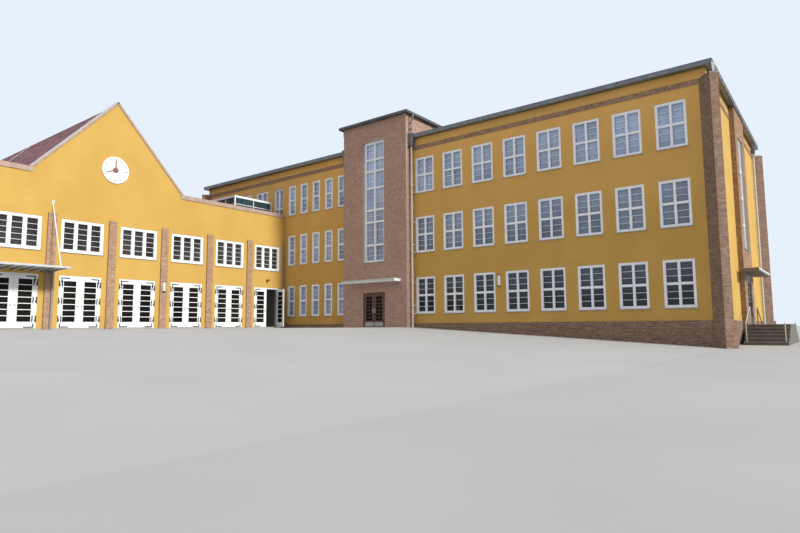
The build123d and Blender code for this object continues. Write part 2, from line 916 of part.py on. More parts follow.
def make_hall_doors():
    """The hall's double doors; the last two pairs stay with their frames."""
    frames = []
    posts = []
    stiles = (outer_stile, meeting_stile)
    sizes = (hall_door_width, hall_floor_level, hall_door_head)
    for i, u in enumerate(hall_places):
        frames += door_frame(u, *sizes, hall_front)
        for name, side in (("a", 1), ("b", -1)):
            rails = (hall_bottom_rail, hall_top_rail)
            if i >= open_doors:
                fixed = leaf(u, side, *sizes, *rails, stiles, joint_gap, joint_gap)
                frames.append(fixed.moved(hall_front))
                continue
            body = hinged_leaf(u, side, *sizes, *rails, stiles).moved(hall_front)
            if i == 0 and side == 1:
                body = body.rotate(hinge_axis(u, side, hall_door_width, hall_front),
                                   open_leaf_angle)
            posts += [p.moved(hall_front) for p in hinge_posts(u, side, *sizes)]
            save(f"hall_door_{i + 1}{name}", [body])
    save("hall_door_frames", frames)
    return posts


def make_timber_doors():
    """The timber double doors of the tower and the end bay."""
    posts = []
    surrounds = []
    stiles = (timber_stile, timber_stile)
    specs = (
        ("tower_door", tower_middle, main_floor_level, tower_door_head, tower_front),
        ("end_door", main_middle, landing_level, end_door_head, right_bay_face),
    )
    for name, u, floor, head, place in specs:
        sizes = (timber_door_width, floor, head)
        surrounds += door_frame(u, *sizes, place)
        for letter, side in (("a", 1), ("b", -1)):
            body = hinged_leaf(u, side, *sizes, timber_bottom_rail, timber_top_rail, stiles)
            posts += [p.moved(place) for p in hinge_posts(u, side, *sizes)]
            save(f"{name}_{letter}", [body.moved(place)])
    save("timber_door_frames", surrounds)
    return posts


def make_clock():
    """The clock dial on the gable and its hands."""
    centre = (hall_face, hall_axis, clock_level)
    face = Plane(origin=centre, x_dir=(0, 1, 0), z_dir=(1, 0, 0)).location
    dial = extrude(Circle(clock_radius), clock_thickness)
    save("clock_dial", [dial.moved(face)])
    t = clock_hand_thickness
    hands = extrude(RegularPolygon(clock_hub_radius, clock_hub_flats), t)
    for length, angle in ((clock_hour_hand, clock_hour_angle),
                          (clock_minute_hand, clock_minute_angle)):
        bar = block(-clock_hand_width / 2, clock_hand_width / 2, 0, length, 0, t)
        hands = hands + Rot(0, 0, -angle) * bar
    save("clock_hands", [hands.moved(Pos(clock_thickness, 0, 0) * face)])


def make_canopies():
    """Slab canopies over the tower and end doors."""
    half = tower_canopy_width / 2
    top = tower_canopy_bottom + tower_canopy_thickness
    tower = block(tower_middle - half, tower_middle + half, -tower_canopy_reach, 0,
                  tower_canopy_bottom, top)
    end_half = end_canopy_width / 2
    end = block(main_middle - end_half, main_middle + end_half, -end_canopy_reach, 0,
                end_canopy_bottom, end_canopy_bottom + tower_canopy_thickness)
    save("slab_canopies", [tower.moved(tower_front), end.moved(right_bay_face)])


def canopy_rib(u, bottom):
    """One rib under the canopy, which tapers from the wall to its outer end."""
    near = -pilaster_step - joint_gap
    far = canopy_rib_width - hall_canopy_reach
    side = Polyline((near, bottom), (near, bottom - canopy_rib_depth),
                    (far, bottom - canopy_rib_end), (far, bottom), close=True)
    rib = extrude(Plane.YZ * make_face(side), canopy_rib_width)
    return rib.moved(Location((u - canopy_rib_width / 2, 0, 0)))


def make_hall_canopy():
    """The hung canopy over one hall door, with its ribs and its two tie rods."""
    middle = -(hall_canopy_bay - 0.5) * hall_bay
    half = hall_canopy_width / 2
    top = hall_canopy_top
    bottom = top - hall_canopy_thickness
    slab = block(middle - half, middle + half, -hall_canopy_reach, -pilaster_step, bottom, top)
    first = middle - half + canopy_rib_margin
    pitch = (hall_canopy_width - 2 * canopy_rib_margin) / (canopy_ribs - 1)
    ribbed = slab
    for i in range(canopy_ribs):
        ribbed = ribbed + canopy_rib(first + pitch * i, bottom)
    slab = slab.moved(hall_front)
    save("hall_canopy", [ribbed.moved(hall_front)])
    rods = []
    inside = block(hall_face - hall_wall, hall_face, hall_end, 0, hall_door_head, hall_wall_top)
    for side in (-1, 1):
        y = middle + side * hall_bay / 2
        start = Vector(hall_face - canopy_rod_depth, y, canopy_rod_top)
        end = Vector(hall_face + canopy_rod_reach, y, top - canopy_rod_depth)
        plane = Plane(start, z_dir=end - start)
        rod = extrude(plane * RegularPolygon(canopy_rod_radius, tube_flats), (end - start).length)
        rods.append(rod - inside - slab)
    save("canopy_rods", rods)


def make_end_steps():
    """Landing and step blocks at the end door, one flight each way."""
    g = joint_gap
    half = end_bay_width / 2
    x0 = main_right + end_bay_projection + g
    x1 = x0 + landing_reach
    riser = landing_level / step_count
    solids = [block(x0, x1, main_middle - half, main_middle + half, 0, landing_level)]
    for i in range(1, step_count):
        top = landing_level - riser * i
        near = half + step_going * (i - 1) + g * i
        for side in (-1, 1):
            y0, y1 = sorted((main_middle + side * near, main_middle + side * (near + step_going)))
            solids.append(block(x0, x1, y0, y1, 0, top))
    save("end_steps", solids)


def tube(points, radius):
    """A bar with flat sides through these points, with its bends mitred."""
    path = Polyline(*points) if len(points) > 2 else Line(*points)
    start = Plane(path @ 0, z_dir=path % 0)
    return sweep(start * RegularPolygon(radius, tube_flats), path, transition=Transition.RIGHT)


def make_end_rails():
    """Handrails on posts along the wall side of both flights."""
    half = end_bay_width / 2
    x = main_right + end_bay_projection + rail_inset
    run = step_going * (step_count - 1)
    riser = landing_level / step_count
    rails = []
    for side in (-1, 1):
        near = main_middle + side * (half - rail_inset)
        far = main_middle + side * (half + run - step_going / 2)
        top = landing_level + rail_height
        foot = riser
        points = [(x, near, landing_level), (x, near, top), (x, far, foot + rail_height), (x, far, foot)]
        rails.append(tube(points, rail_radius))
        outer = x + landing_reach - 2 * rail_inset
        rails.append(tube([(outer, far, foot), (outer, far, foot + rail_height)], rail_radius))
    save("end_rails", rails)


def pavilion_box():
    """Left, right and front of the pavilion, and the middle of its front."""
    x1 = hall_face - pavilion_right
    x0 = x1 - pavilion_width
    return x0, x1, -pavilion_depth, (x0 + x1) / 2


def make_pavilion():
    """The posts and roof of the glazed pavilion on the terrace."""
    x0, x1, y0, middle = pavilion_box()
    low = hall_roof_level
    top = pavilion_top
    post = pavilion_post
    frame = block(x0, x1, y0, 0, low, top)
    frame = frame - block(x0 + post, x1 - post, y0 + post, 1, low - 1, top - post)
    side_low = low + post
    side_high = top - pavilion_fascia
    frame = frame - block(x0 - 1, x1 + 1, y0 + post, -post, side_low, side_high)
    for a, b in ((x0 + post, middle - post / 2), (middle + post / 2, x1 - post)):
        frame = frame - block(a, b, y0 - 1, y0 + post + 1, side_low, side_high)
    parapet = block(hall_rear, main_left, -hall_wall - coping_lip, 0, low, top)
    save("pavilion_frame", [frame - parapet])


def pavilion_glass():
    """The panes between the pavilion's posts."""
    x0, x1, y0, middle = pavilion_box()
    post = pavilion_post
    low = hall_roof_level + post
    high = pavilion_top - pavilion_fascia
    inset = post / 2
    t = glass_thickness
    return [
        block(x1 - inset - t, x1 - inset, y0 + post, -post, low, high),
        block(x0 + inset, x0 + inset + t, y0 + post, -post, low, high),
        block(x0 + post, middle - post / 2, y0 + inset, y0 + inset + t, low, high),
        block(middle + post / 2, x1 - post, y0 + inset, y0 + inset + t, low, high),
    ]


def hopper(width, foot, low, high, depth):
    """A rainwater head that narrows downwards, its back at Y = 0."""
    side = Polyline((-foot / 2, low), (foot / 2, low), (width / 2, high), (-width / 2, high),
                    close=True)
    return Rot(90, 0, 0) * extrude(make_face(side), depth)


def downpipe(u, centre, head, depth):
    """A rainwater head, the pipe below it and the brackets that hold it to the wall."""
    half = pipe_bracket / 2
    low = head[2]
    body = tube([(u, -centre, 0), (u, -centre, low + 1)], pipe_radius)
    body = body + hopper(*head, depth).moved(Location((u, depth / 2 - centre, 0)))
    for level in pipe_bracket_levels:
        body = body + block(u - half, u + half, -centre, 0, level, level + pipe_bracket_height)
    return body


def swan_neck(u, side):
    """The pipe above the tower's rainwater head, which bends out past the roof slab."""
    y = -tower_pipe_centre
    low = tower_top - swan_neck_drop
    high = low + swan_neck_bend
    top = tower_top + swan_neck_lip
    out = u + side * swan_neck_shift
    points = [(u, y, tower_hopper[3] - 1), (u, y, low), (out, y, high), (out, y, top)]
    return tube(points, pipe_radius)


def make_rainwater():
    """Heads and downpipes beside the tower, at the end wall, the corner and the canopy."""
    end_face = Location((main_right, 0, 0), (0, 0, 90))
    pipes = []
    for edge, side in ((tower_right, 1), (tower_left, -1)):
        u = edge + side * tower_pipe_place
        pipe = downpipe(u, tower_pipe_centre, tower_hopper, hopper_depth)
        pipes.append(pipe + swan_neck(u, side))
    end = downpipe(main_depth - end_pipe_place, end_pipe_centre, end_hopper, end_hopper_depth)
    pipes.append(end.moved(end_face))
    width = corner_hopper[0]
    shift = (buttress_reach - width / 2) / 2 ** 0.5
    corner = hopper(*corner_hopper, wall_top, width).moved(Location((0, width / 2, 0)))
    pipes.append(corner.moved(Location((main_right + shift, -shift, 0), (0, 0, buttress_turn))))
    u = -(hall_canopy_bay - 1) * hall_bay + canopy_pipe_place
    out = -pilaster_step - canopy_pipe_gap - pipe_radius
    under = hall_canopy_top - hall_canopy_thickness
    pipes.append(tube([(u, out, 0), (u, out, under)], pipe_radius).moved(hall_front))
    save("rainwater_pipes", pipes)


def lamp():
    """A wall lamp: a back plate and an upright round glass."""
    plate = block(-lamp_radius, lamp_radius, -lamp_plate, 0, 0, lamp_height)
    body = extrude(Circle(lamp_radius), lamp_height)
    body = body.moved(Location((0, -lamp_plate - lamp_radius / 2, 0)))
    body = body - block(-lamp_radius, lamp_radius, -lamp_plate, lamp_radius, -1, lamp_height + 1)
    return plate + body


def make_lamps():
    """Wall lamps on the front, on one pilaster and over the first hall door."""
    pilaster = -lamp_pilaster * hall_bay
    size = door_lamp_size
    over = block(-size / 2, size / 2, -2 * size, 0, 0, size)
    lamps = [
        lamp().moved(Location((lamp_place, 0, lamp_bottom))),
        lamp().moved(Location((hall_face + pilaster_step, pilaster, lamp_bottom), (0, 0, 90))),
        over.moved(Location((hall_face, hall_places[0], door_lamp_level), (0, 0, 90))),
    ]
    save("wall_lamps", lamps)


make_plinth()
make_front_wall()
make_rear_wall()
make_end_walls()
make_door_piers()
make_end_bays()
make_band()
make_buttresses()
make_floors()
make_main_roof()
make_tower_walls()
make_tower_roof()
make_main_windows()
make_hall_windows()
make_hall_base()
make_hall_front()
make_gables()
make_copings()
make_pilasters()
make_hall_walls()
make_hall_roofs()
save("door_hinges", make_hall_doors() + make_timber_doors())
make_clock()
make_canopies()
make_hall_canopy()
make_end_steps()
make_end_rails()
make_pavilion()
make_rainwater()
make_lamps()
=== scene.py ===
import random
from math import ceil, cos, dist, floor, hypot, pi, radians, sin, sqrt

import bpy
from mathutils import Matrix, Vector


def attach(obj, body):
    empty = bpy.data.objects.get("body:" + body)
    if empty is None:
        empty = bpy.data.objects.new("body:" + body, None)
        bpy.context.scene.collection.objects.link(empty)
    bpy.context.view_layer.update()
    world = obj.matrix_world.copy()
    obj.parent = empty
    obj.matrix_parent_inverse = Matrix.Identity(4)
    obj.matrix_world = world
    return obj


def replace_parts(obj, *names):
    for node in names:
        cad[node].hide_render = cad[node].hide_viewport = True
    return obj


# Lengths are in metres at half the real size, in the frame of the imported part.

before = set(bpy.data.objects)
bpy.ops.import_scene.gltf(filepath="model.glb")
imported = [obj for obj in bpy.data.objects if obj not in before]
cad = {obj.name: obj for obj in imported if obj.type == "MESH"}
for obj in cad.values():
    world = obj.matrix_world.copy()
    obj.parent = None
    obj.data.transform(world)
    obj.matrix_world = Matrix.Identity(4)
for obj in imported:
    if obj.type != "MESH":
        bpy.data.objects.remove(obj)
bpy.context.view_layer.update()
scene = bpy.context.scene
draw = random.Random(7)

# Levels and walls
storey = 1.892
wall_top = 6.455
gutter_top = 6.570
plinth_top = 0.610
plinth_step = 0.015
bay = 1.025
main_right = 7.975
main_left = -11.407
main_depth = 8.139
main_middle = main_depth / 2
tower_left = -3.147
tower_right = -0.487
tower_middle = (tower_left + tower_right) / 2
tower_step = 0.308
tower_back = 2.050
tower_top = 7.245
tower_roof_top = 7.325
band = (6.089, 6.222)
band_step = 0.012
buttress_half = 0.1075
buttress_reach = 0.277
buttress_top = 6.210
foot_half = 0.1435
foot_reach = 0.320
end_step = 0.123
end_half = 0.871
end_low = main_middle - end_half
end_high = main_middle + end_half

# Windows
frame_member = 0.056
mullion = 0.046
narrow_member = 0.058
tall_member = 0.060
tall_mullion = 0.050
hall_member = 0.074
hall_mullion = 0.084
set_back = 0.012
tall_set_back = 0.055
frame_depth = 0.070
window_sill = 0.908
window_height = 1.125
wide_width = 0.700
narrow_width = 0.390
tall_width = 0.866
end_width = 0.871
tower_window = (2.593, 6.601)
end_window = (2.573, 5.771)
sills = [window_sill + storey * i for i in range(3)]
wide_places = [bay * i for i in range(8)]
narrow_places = [-3.536 - 0.638 * i for i in range(5)]
upper_places = [-7.840 - bay * i for i in range(3)]
rear_places = [-bay * i for i in range(-10, 8)]
terrace_door = (-6.892, 0.543)

# Hall
hall_face = -6.483
hall_rear = -16.203
hall_end = -12.960
hall_axis = hall_end / 2
hall_bay = 1.620
hall_floor = 0.530
terrace_level = 4.264
hall_wall_top = 4.626
coping_top = 4.756
hall_width = 1.133
hall_height = 0.896
hall_sills = (0.960, 2.586)
hall_places = [-(i + 0.5) * hall_bay for i in range(8)]
hall_end_places = [hall_face - (i + 0.5) * hall_bay for i in range(6)]
pilaster_half = 0.1075
pilaster_step = 0.048
pilaster_top = 3.598
gable_peak = 7.185
gable_start = 2.214
gable_slope = (gable_peak - coping_top) / gable_start
clock_level = 5.111

# Doors and slab canopies: width, low and high edge
hall_door = (1.111, hall_floor, 1.943)
tower_door = (0.912, 0.500, 1.609)
end_door = (0.912, 0.515, 1.804)
tower_slab = (2.184, 1.917, 1.999)
end_slab = (2.500, 1.890, 1.972)
door_member = 0.040
door_near = 0.010
leaf_thickness = 0.030
open_leaf_angle = radians(78)

# Bricks: length and height with the joint, joint width, and how far they stand proud
brick_length = 0.125
course = 0.0415
brick_joint = 0.005
proud = 0.003


def face(x, y, nx, ny):
    """A wall face: along it to the right, into it, and up, as a place in the frame."""
    return lambda u, d, z: (x - ny * u - nx * d, y + nx * u - ny * d, z)


front = face(0, 0, 0, -1)
rear = face(0, main_depth, 0, 1)
right_end = face(main_right, 0, 1, 0)
right_bay = face(main_right + end_step, 0, 1, 0)
left_bay = face(main_left - end_step, 0, -1, 0)
tower_front = face(0, -tower_step, 0, -1)
tower_right_side = face(tower_right, 0, 1, 0)
tower_left_side = face(tower_left, 0, -1, 0)
hall_front = face(hall_face, 0, 1, 0)
hall_back = face(hall_rear, 0, -1, 0)
hall_far_end = face(0, hall_end, 0, -1)


def placed(name, data):
    """A new object in the scene."""
    made = bpy.data.objects.new(name, data)
    scene.collection.objects.link(made)
    return made


class Heap:
    """Boxes and other small solids gathered into one mesh."""

    box_faces = ((0, 2, 3, 1), (4, 5, 7, 6), (0, 1, 5, 4), (2, 6, 7, 3), (0, 4, 6, 2), (1, 3, 7, 5))

    def __init__(self, place=front):
        self.place = place
        self.points = []
        self.faces = []
        self.tones = []

    def add(self, loop, tone=0.5):
        self.faces.append(loop)
        self.tones.append(tone)

    def block(self, corners, tone=0.5, open_back=False):
        """Eight corners in the order of a box; open_back leaves out the side against the wall."""
        base = len(self.points)
        self.points.extend(corners)
        for i, loop in enumerate(self.box_faces):
            if not (open_back and i == 3):
                self.add([base + k for k in loop], tone)

    def box(self, u0, u1, d0, d1, z0, z1, place=None, tone=0.5, open_back=False):
        """A box on a wall face."""
        place = place or self.place
        u0, u1 = sorted((u0, u1))
        corners = [place(u, d, z) for z in (z0, z1) for d in (d0, d1) for u in (u0, u1)]
        self.block(corners, tone, open_back)

    def strip(self, middle, half, d0, d1, z0, z1, place=None):
        """A box that reaches as far to the left of its middle as to the right."""
        self.box(middle - half, middle + half, d0, d1, z0, z1, place)

    def bar(self, start, end, width, height=None):
        """A square bar between two points of the frame."""
        start, end = Vector(start), Vector(end)
        run = (end - start).normalized()
        side = run.cross(Vector((0, 0, 1)))
        side = Vector((1, 0, 0)) if side.length < 0.01 else side.normalized()
        up = side.cross(run)
        a, b = side * width / 2, up * (height or width) / 2
        self.block([p + s * a + t * b for t in (-1, 1) for p in (start, end) for s in (-1, 1)])

    def ring(self, middle, section, count, turn=2 * pi, tone=0.5):
        """Four-sided bar bent about an axis along X; each corner has its x and its radius."""
        base = len(self.points)
        whole = turn == 2 * pi
        places = count if whole else count + 1
        for i in range(places):
            c, s = cos(turn * i / count), sin(turn * i / count)
            self.points += [(x, middle[0] + radius * c, middle[1] + radius * s)
                            for x, radius in section]
        for i in range(count):
            a, b = base + 4 * i, base + 4 * ((i + 1) % places)
            for k, n in ((0, 1), (1, 2), (2, 3), (3, 0)):
                self.add([a + k, b + k, b + n, a + n], tone)
        if not whole:
            for a, way in ((base, 1), (base + 4 * count, -1)):
                self.add([a, a + 1, a + 2, a + 3][::way], tone)

    def piece(self, name, look, body="building"):
        """The finished object, riding on its body."""
        mesh = bpy.data.meshes.new(name)
        mesh.from_pydata([tuple(p) for p in self.points], [], self.faces)
        mesh.attributes.new("tone", "FLOAT", "FACE").data.foreach_set("value", self.tones)
        mesh.materials.append(look)
        mesh.update()
        made = placed(name, mesh)
        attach(made, body)
        return made


# Materials

class Nodes:
    """The node tree of a material or of the sky."""

    def __init__(self, owner):
        owner.use_nodes = True
        self.tree = owner.node_tree

    def feed(self, sockets, *values):
        """Link other nodes' outputs to sockets, or set their values."""
        for socket, value in zip(sockets, values):
            if isinstance(value, bpy.types.NodeSocket):
                self.tree.links.new(value, socket)
            else:
                socket.default_value = (*value, 1) if socket.type == "RGBA" else value

    def set(self, made, **sockets):
        self.feed([made.inputs[key.replace("_", " ")] for key in sockets], *sockets.values())

    def node(self, kind, **sockets):
        """A new node with these sockets set or linked."""
        made = self.tree.nodes.new(kind)
        self.set(made, **sockets)
        return made

    def maths(self, operation, *values):
        """One sum of a few values or sockets."""
        made = self.node("ShaderNodeMath")
        made.operation = operation
        self.feed(made.inputs, *values)
        return made.outputs[0]


class Look(Nodes):
    """A material, with the few nodes that the finishes share."""

    def __init__(self, name, rough, metal=0.0):
        self.look = bpy.data.materials.new(name)
        super().__init__(self.look)
        self.shader = self.tree.nodes["Principled BSDF"]
        self.set(self.shader, Roughness=rough, Metallic=metal)
        self.where = self.node("ShaderNodeTexCoord").outputs["Object"]
        place = self.node("ShaderNodeNewGeometry").outputs["Position"]
        self.spot = self.node("ShaderNodeSeparateXYZ", Vector=place).outputs

    def noise(self, scale, detail=4, stretch=(1, 1, 1)):
        """Cloudy noise in the piece's own space."""
        fit = self.node("ShaderNodeMapping", Vector=self.where, Scale=stretch).outputs["Vector"]
        made = self.node("ShaderNodeTexNoise", Vector=fit, Scale=scale, Detail=detail)
        return made.outputs["Fac"]

    def ramp(self, factor, *stops):
        """Colours along a factor, each with its position; a plain number stands for a grey."""
        made = self.node("ShaderNodeValToRGB", Fac=factor)
        ramp = made.color_ramp
        while len(ramp.elements) < len(stops):
            ramp.elements.new(0.5)
        for element, (position, colour) in zip(ramp.elements, stops):
            element.position = position
            element.color = (*(colour if isinstance(colour, tuple) else (colour,) * 3), 1)
        return made.outputs["Color"]

    def tones(self, *stops):
        """Colours along the tone that each brick or tile carries."""
        tone = self.node("ShaderNodeAttribute")
        tone.attribute_name = "tone"
        return self.ramp(tone.outputs["Fac"], *stops)

    def mix(self, factor, first, second, kind="MIX"):
        """One colour laid over another."""
        made = self.node("ShaderNodeMix")
        made.data_type = "RGBA"
        made.blend_type = kind
        self.feed([made.inputs[k] for k in (0, 6, 7)], factor, first, second)
        return made.outputs[2]

    def finish(self, colour, grain, detail, relief, stretch=(1, 1, 1), strength=1.0):
        """Set the colour and a fine relief; the finished material comes back."""
        height = self.noise(grain, detail, stretch)
        bump = self.node("ShaderNodeBump", Height=height, Distance=relief, Strength=strength)
        self.set(self.shader, Base_Color=colour, Normal=bump.outputs["Normal"])
        return self.look


def mottled(name, dark, pale, scale, rough, grain, relief, stretch=(1, 1, 1), metal=0.0):
    """A finish whose colour drifts between two tones over a fine grain."""
    made = Look(name, rough, metal)
    drift = made.ramp(made.noise(scale, 6, stretch), (0.3, dark), (0.7, pale))
    return made.finish(drift, grain, 3, relief, stretch)


def inside_mask(look):
    """One inside the rooms of both wings, and nothing outside them."""
    skin = 0.060
    rooms = (((main_left, main_right), (0, main_depth), (0, wall_top)),
             ((hall_rear, main_left + 2 * skin), (hall_end, 0), (-skin, terrace_level)),
             ((main_left, hall_face), (hall_end, 2 * skin), (-skin, terrace_level)))
    mask = 0.0
    for room in rooms:
        inside = 1.0
        for axis, (low, high) in zip("XYZ", room):
            middle, half = (low + high) / 2, (high - low) / 2
            near = look.maths("COMPARE", look.spot[axis], middle, half - skin)
            inside = look.maths("MULTIPLY", near, inside)
        mask = look.maths("MAXIMUM", mask, inside)
    return mask


def plaster(name, dark, pale, stain, upper=(1, 1, 1)):
    """Fine render: soft drifts, rain streaks and a paler top outside, and plain grey inside."""
    made = Look(name, 0.9)
    base = made.ramp(made.noise(0.9, 5), (0.35, dark), (0.65, pale))
    streaks = made.ramp(made.noise(3.0, 5, (1, 1, 0.12)), (0.55, 0), (0.85, 0.16))
    height = made.maths("DIVIDE", made.spot["Z"], 10.0)
    paler_top = made.ramp(height, (0.30, 1), (0.62, upper))
    outside = made.mix(1.0, made.mix(streaks, base, stain), paler_top, "MULTIPLY")
    return made.finish(made.mix(inside_mask(made), outside, (0.30, 0.295, 0.28)), 170, 4, 0.0012)


def brick(name, gain, spread=1.0):
    """Burnt brick, lightened by a factor for each channel; each brick carries its own tone."""
    mean = (0.258, 0.160, 0.130)
    made = Look(name, 0.88)
    tones = ((0.0, (0.185, 0.108, 0.088)), (0.3, (0.235, 0.142, 0.114)), (0.6, (0.27, 0.17, 0.137)),
             (0.85, (0.30, 0.197, 0.16)), (1.0, (0.34, 0.235, 0.193)))
    base = made.tones(*((at, tuple(g * (m + spread * (c - m)) for g, m, c in zip(gain, mean, rgb)))
                        for at, rgb in tones))
    soot = made.ramp(made.noise(45, 5), (0.35, (0.80, 0.79, 0.79)), (0.7, (1.08, 1.07, 1.06)))
    return made.finish(made.mix(1.0, base, soot, "MULTIPLY"), 120, 5, 0.0015)


def glazing(name, low_reflection, sky_reflection, see, low=1.5, high=5.0, gloss=1.0, bend=1.5, left=0.0):
    """Window glass with a painted reflection: more sky higher up, and left of the tower's edge."""
    made = Look(name, 0.04)
    rise = made.node("ShaderNodeMapRange", Value=made.spot["Z"], From_Min=low,
                     From_Max=high).outputs[0]
    shine = made.maths("MULTIPLY", made.maths("MULTIPLY_ADD", rise, 0.75, 0.25), gloss)
    made.set(made.shader, Alpha=see, IOR=bend, Coat_Weight=shine, Coat_Roughness=0.02,
             Coat_IOR=bend, Specular_IOR_Level=made.maths("MULTIPLY", shine, 0.9))
    beyond = made.maths("LESS_THAN", made.spot["X"], tower_right)
    reflection_colour = made.mix(made.maths("MULTIPLY_ADD", beyond, left, rise), low_reflection, sky_reflection)
    # Cloudy changes of brightness: painted patchy reflections.
    drift = made.ramp(made.noise(0.7, 3), (0.35, (0.55, 0.56, 0.60)), (0.65, 1.35))
    return made.finish(made.mix(1.0, reflection_colour, drift, "MULTIPLY"), 1.6, 2, 0.002, strength=0.15)


def zoned(name, rough, plain, *zones):
    """One finish, and another in each zone: beyond a line along an axis, or before it."""
    made = Look(name, rough)
    shade = plain
    for axis, test, edge, colour in zones:
        shade = made.mix(made.maths(test, made.spot[axis], edge), shade, colour)
    drift = made.ramp(made.noise(6, 5), (0.3, 0.88), (0.7, 1.06))
    return made.finish(made.mix(1.0, shade, drift, "MULTIPLY"), 70, 3, 0.0004)


yellow = plaster("yellow_render", (0.49, 0.301, 0.068), (0.545, 0.341, 0.081), (0.40, 0.235, 0.07))
# The front and rear walls' copy is a little less green, as painted shade, and grows paler and bluer
# towards the top.
shade_side_yellow = plaster("shade_side_render", (0.49, 0.287, 0.066), (0.545, 0.325, 0.079),
                       (0.40, 0.235, 0.07), (1.30, 1.26, 1.50))
grey_render = plaster("grey_render", (0.30, 0.28, 0.25), (0.38, 0.36, 0.32), (0.20, 0.18, 0.16))
bricks = brick("burnt_brick", (1.27, 1.17, 0.82))
tower_bricks = brick("tower_brick", (1.70, 1.72, 1.66), 0.55)
pale_bricks = brick("pilaster_brick", (1.50, 1.43, 1.12), 0.75)
dark_bricks = brick("dark_brick", (0.90, 0.86, 0.74))
coping_tiles = brick("coping_tile", (1.66, 1.86, 1.88))
mortar = mottled("brick_joint", (0.33, 0.29, 0.25), (0.41, 0.36, 0.31), 14, 0.95, 260, 0.001)
# The slight blue cast of the white paint is painted sky light on the shaded frames.
white = mottled("white_gloss", (0.78, 0.80, 0.85), (0.86, 0.88, 0.92), 5, 0.32, 90, 0.0003)
timber = mottled("dark_timber", (0.045, 0.024, 0.016), (0.13, 0.07, 0.045), 16, 0.42, 60, 0.0006,
                 (1, 1, 0.08))
zinc = mottled("sill_sheet", (0.30, 0.31, 0.33), (0.40, 0.41, 0.43), 9, 0.42, 60, 0.0004, metal=0.3)
gutter_sheet = mottled("gutter_sheet", (0.13, 0.14, 0.15), (0.21, 0.22, 0.235), 7, 0.35, 60,
                       0.0004, metal=0.4)
sheet = mottled("dark_sheet", (0.055, 0.058, 0.062), (0.10, 0.10, 0.105), 3, 0.45, 40, 0.001,
                metal=0.3)
felt = mottled("roof_felt", 0.13, (0.22, 0.22, 0.21), 2.2, 0.95, 220, 0.002)
tile = Look("clay_tile", 0.75)
tile_tones = tile.tones((0.0, (0.130, 0.058, 0.070)), (0.5, (0.225, 0.105, 0.123)),
                        (1.0, (0.305, 0.163, 0.182)))
moss = tile.ramp(tile.noise(30, 5), (0.3, (0.75, 0.74, 0.74)), (0.7, 1.1))
tile = tile.finish(tile.mix(1.0, tile_tones, moss, "MULTIPLY"), 90, 4, 0.0012)
concrete = mottled("cast_concrete", (0.26, 0.25, 0.235), (0.36, 0.35, 0.33), 3.5, 0.9, 110, 0.0015)
steps_stone = mottled("steps_stone", (0.10, 0.092, 0.082), (0.165, 0.152, 0.135), 4, 0.9, 110,
                      0.0015)
floor_screed = mottled("floor_screed", (0.30, 0.28, 0.25), (0.42, 0.39, 0.35), 2.5, 0.8, 90, 0.001)
canopy_top = 2.091
canopy_under = 2.051
# The hall canopy's sheet is pale; below its underside the ribs are dark grey, as painted shade on
# their faces.
ribbed_canopy_painted_shade = zoned(
    "canopy_with_painted_rib_shade", 0.45, (0.62, 0.65, 0.68),
    ("Z", "LESS_THAN", canopy_under - 0.002, (0.20, 0.205, 0.21)))
pipe_metal = zoned(
    "pipe_sheet", 0.45, (0.60, 0.61, 0.60), ("Z", "GREATER_THAN", 6.19, (0.13, 0.135, 0.14)),
    ("X", "LESS_THAN", hall_face + 0.2, (0.26, 0.25, 0.245)))
slab_paint = zoned(
    "canopy_paint", 0.6, (0.15, 0.135, 0.12), ("X", "LESS_THAN", main_right, (0.76, 0.77, 0.79)))
# The near rail is pale as painted sunlight, the far one dark as painted shade.
step_rails_painted_light = zoned(
    "step_rail_paint_painted_light", 0.4, (0.10, 0.10, 0.11), ("Y", "LESS_THAN", main_middle, (0.44, 0.43, 0.42)))
pale_sheet = mottled("pale_sheet", (0.44, 0.46, 0.47), (0.54, 0.56, 0.57), 6, 0.5, 60, 0.0003)
iron = mottled("black_iron", (0.012, 0.012, 0.013), (0.035, 0.034, 0.034), 25, 0.4, 80, 0.0006,
               metal=0.5)
copper = mottled("hand_copper", (0.17, 0.065, 0.045), (0.27, 0.12, 0.085), 20, 0.4, 80, 0.0004,
                 metal=0.3)
hour_paint = mottled("hour_paint", (0.10, 0.13, 0.17), (0.15, 0.18, 0.23), 20, 0.4, 80, 0.0002)
dial = mottled("dial_enamel", (0.75, 0.76, 0.76), (0.84, 0.84, 0.83), 4, 0.3, 60, 0.0002)
opal = mottled("opal_glass", (0.78, 0.78, 0.74), (0.90, 0.90, 0.87), 8, 0.25, 60, 0.0002)
lamp_red = mottled("lamp_red", (0.22, 0.03, 0.02), (0.34, 0.05, 0.04), 10, 0.35, 60, 0.0003)
slat = mottled("pale_slats", (0.66, 0.68, 0.71), (0.80, 0.81, 0.83), 3, 0.6, 90, 0.0002)
# Window glass: dark low down, sky blue higher up and left of the tower, as painted reflections.
glass = glazing("window_glass", (0.02, 0.027, 0.037), (0.37, 0.48, 0.69), 0.80, 1.2, 5.6,
                left=0.85)
# Dark and warm: painted reflections of trees over the hall's windows.
hall_pane = glazing("hall_glass", (0.045, 0.042, 0.040), (0.02, 0.05, 0.07), 0.74, 4.20, 4.28)
door_glass = glazing("door_glass", (0.014, 0.012, 0.010), (0.02, 0.03, 0.04), 0.88, gloss=0.25,
                     bend=1.2)

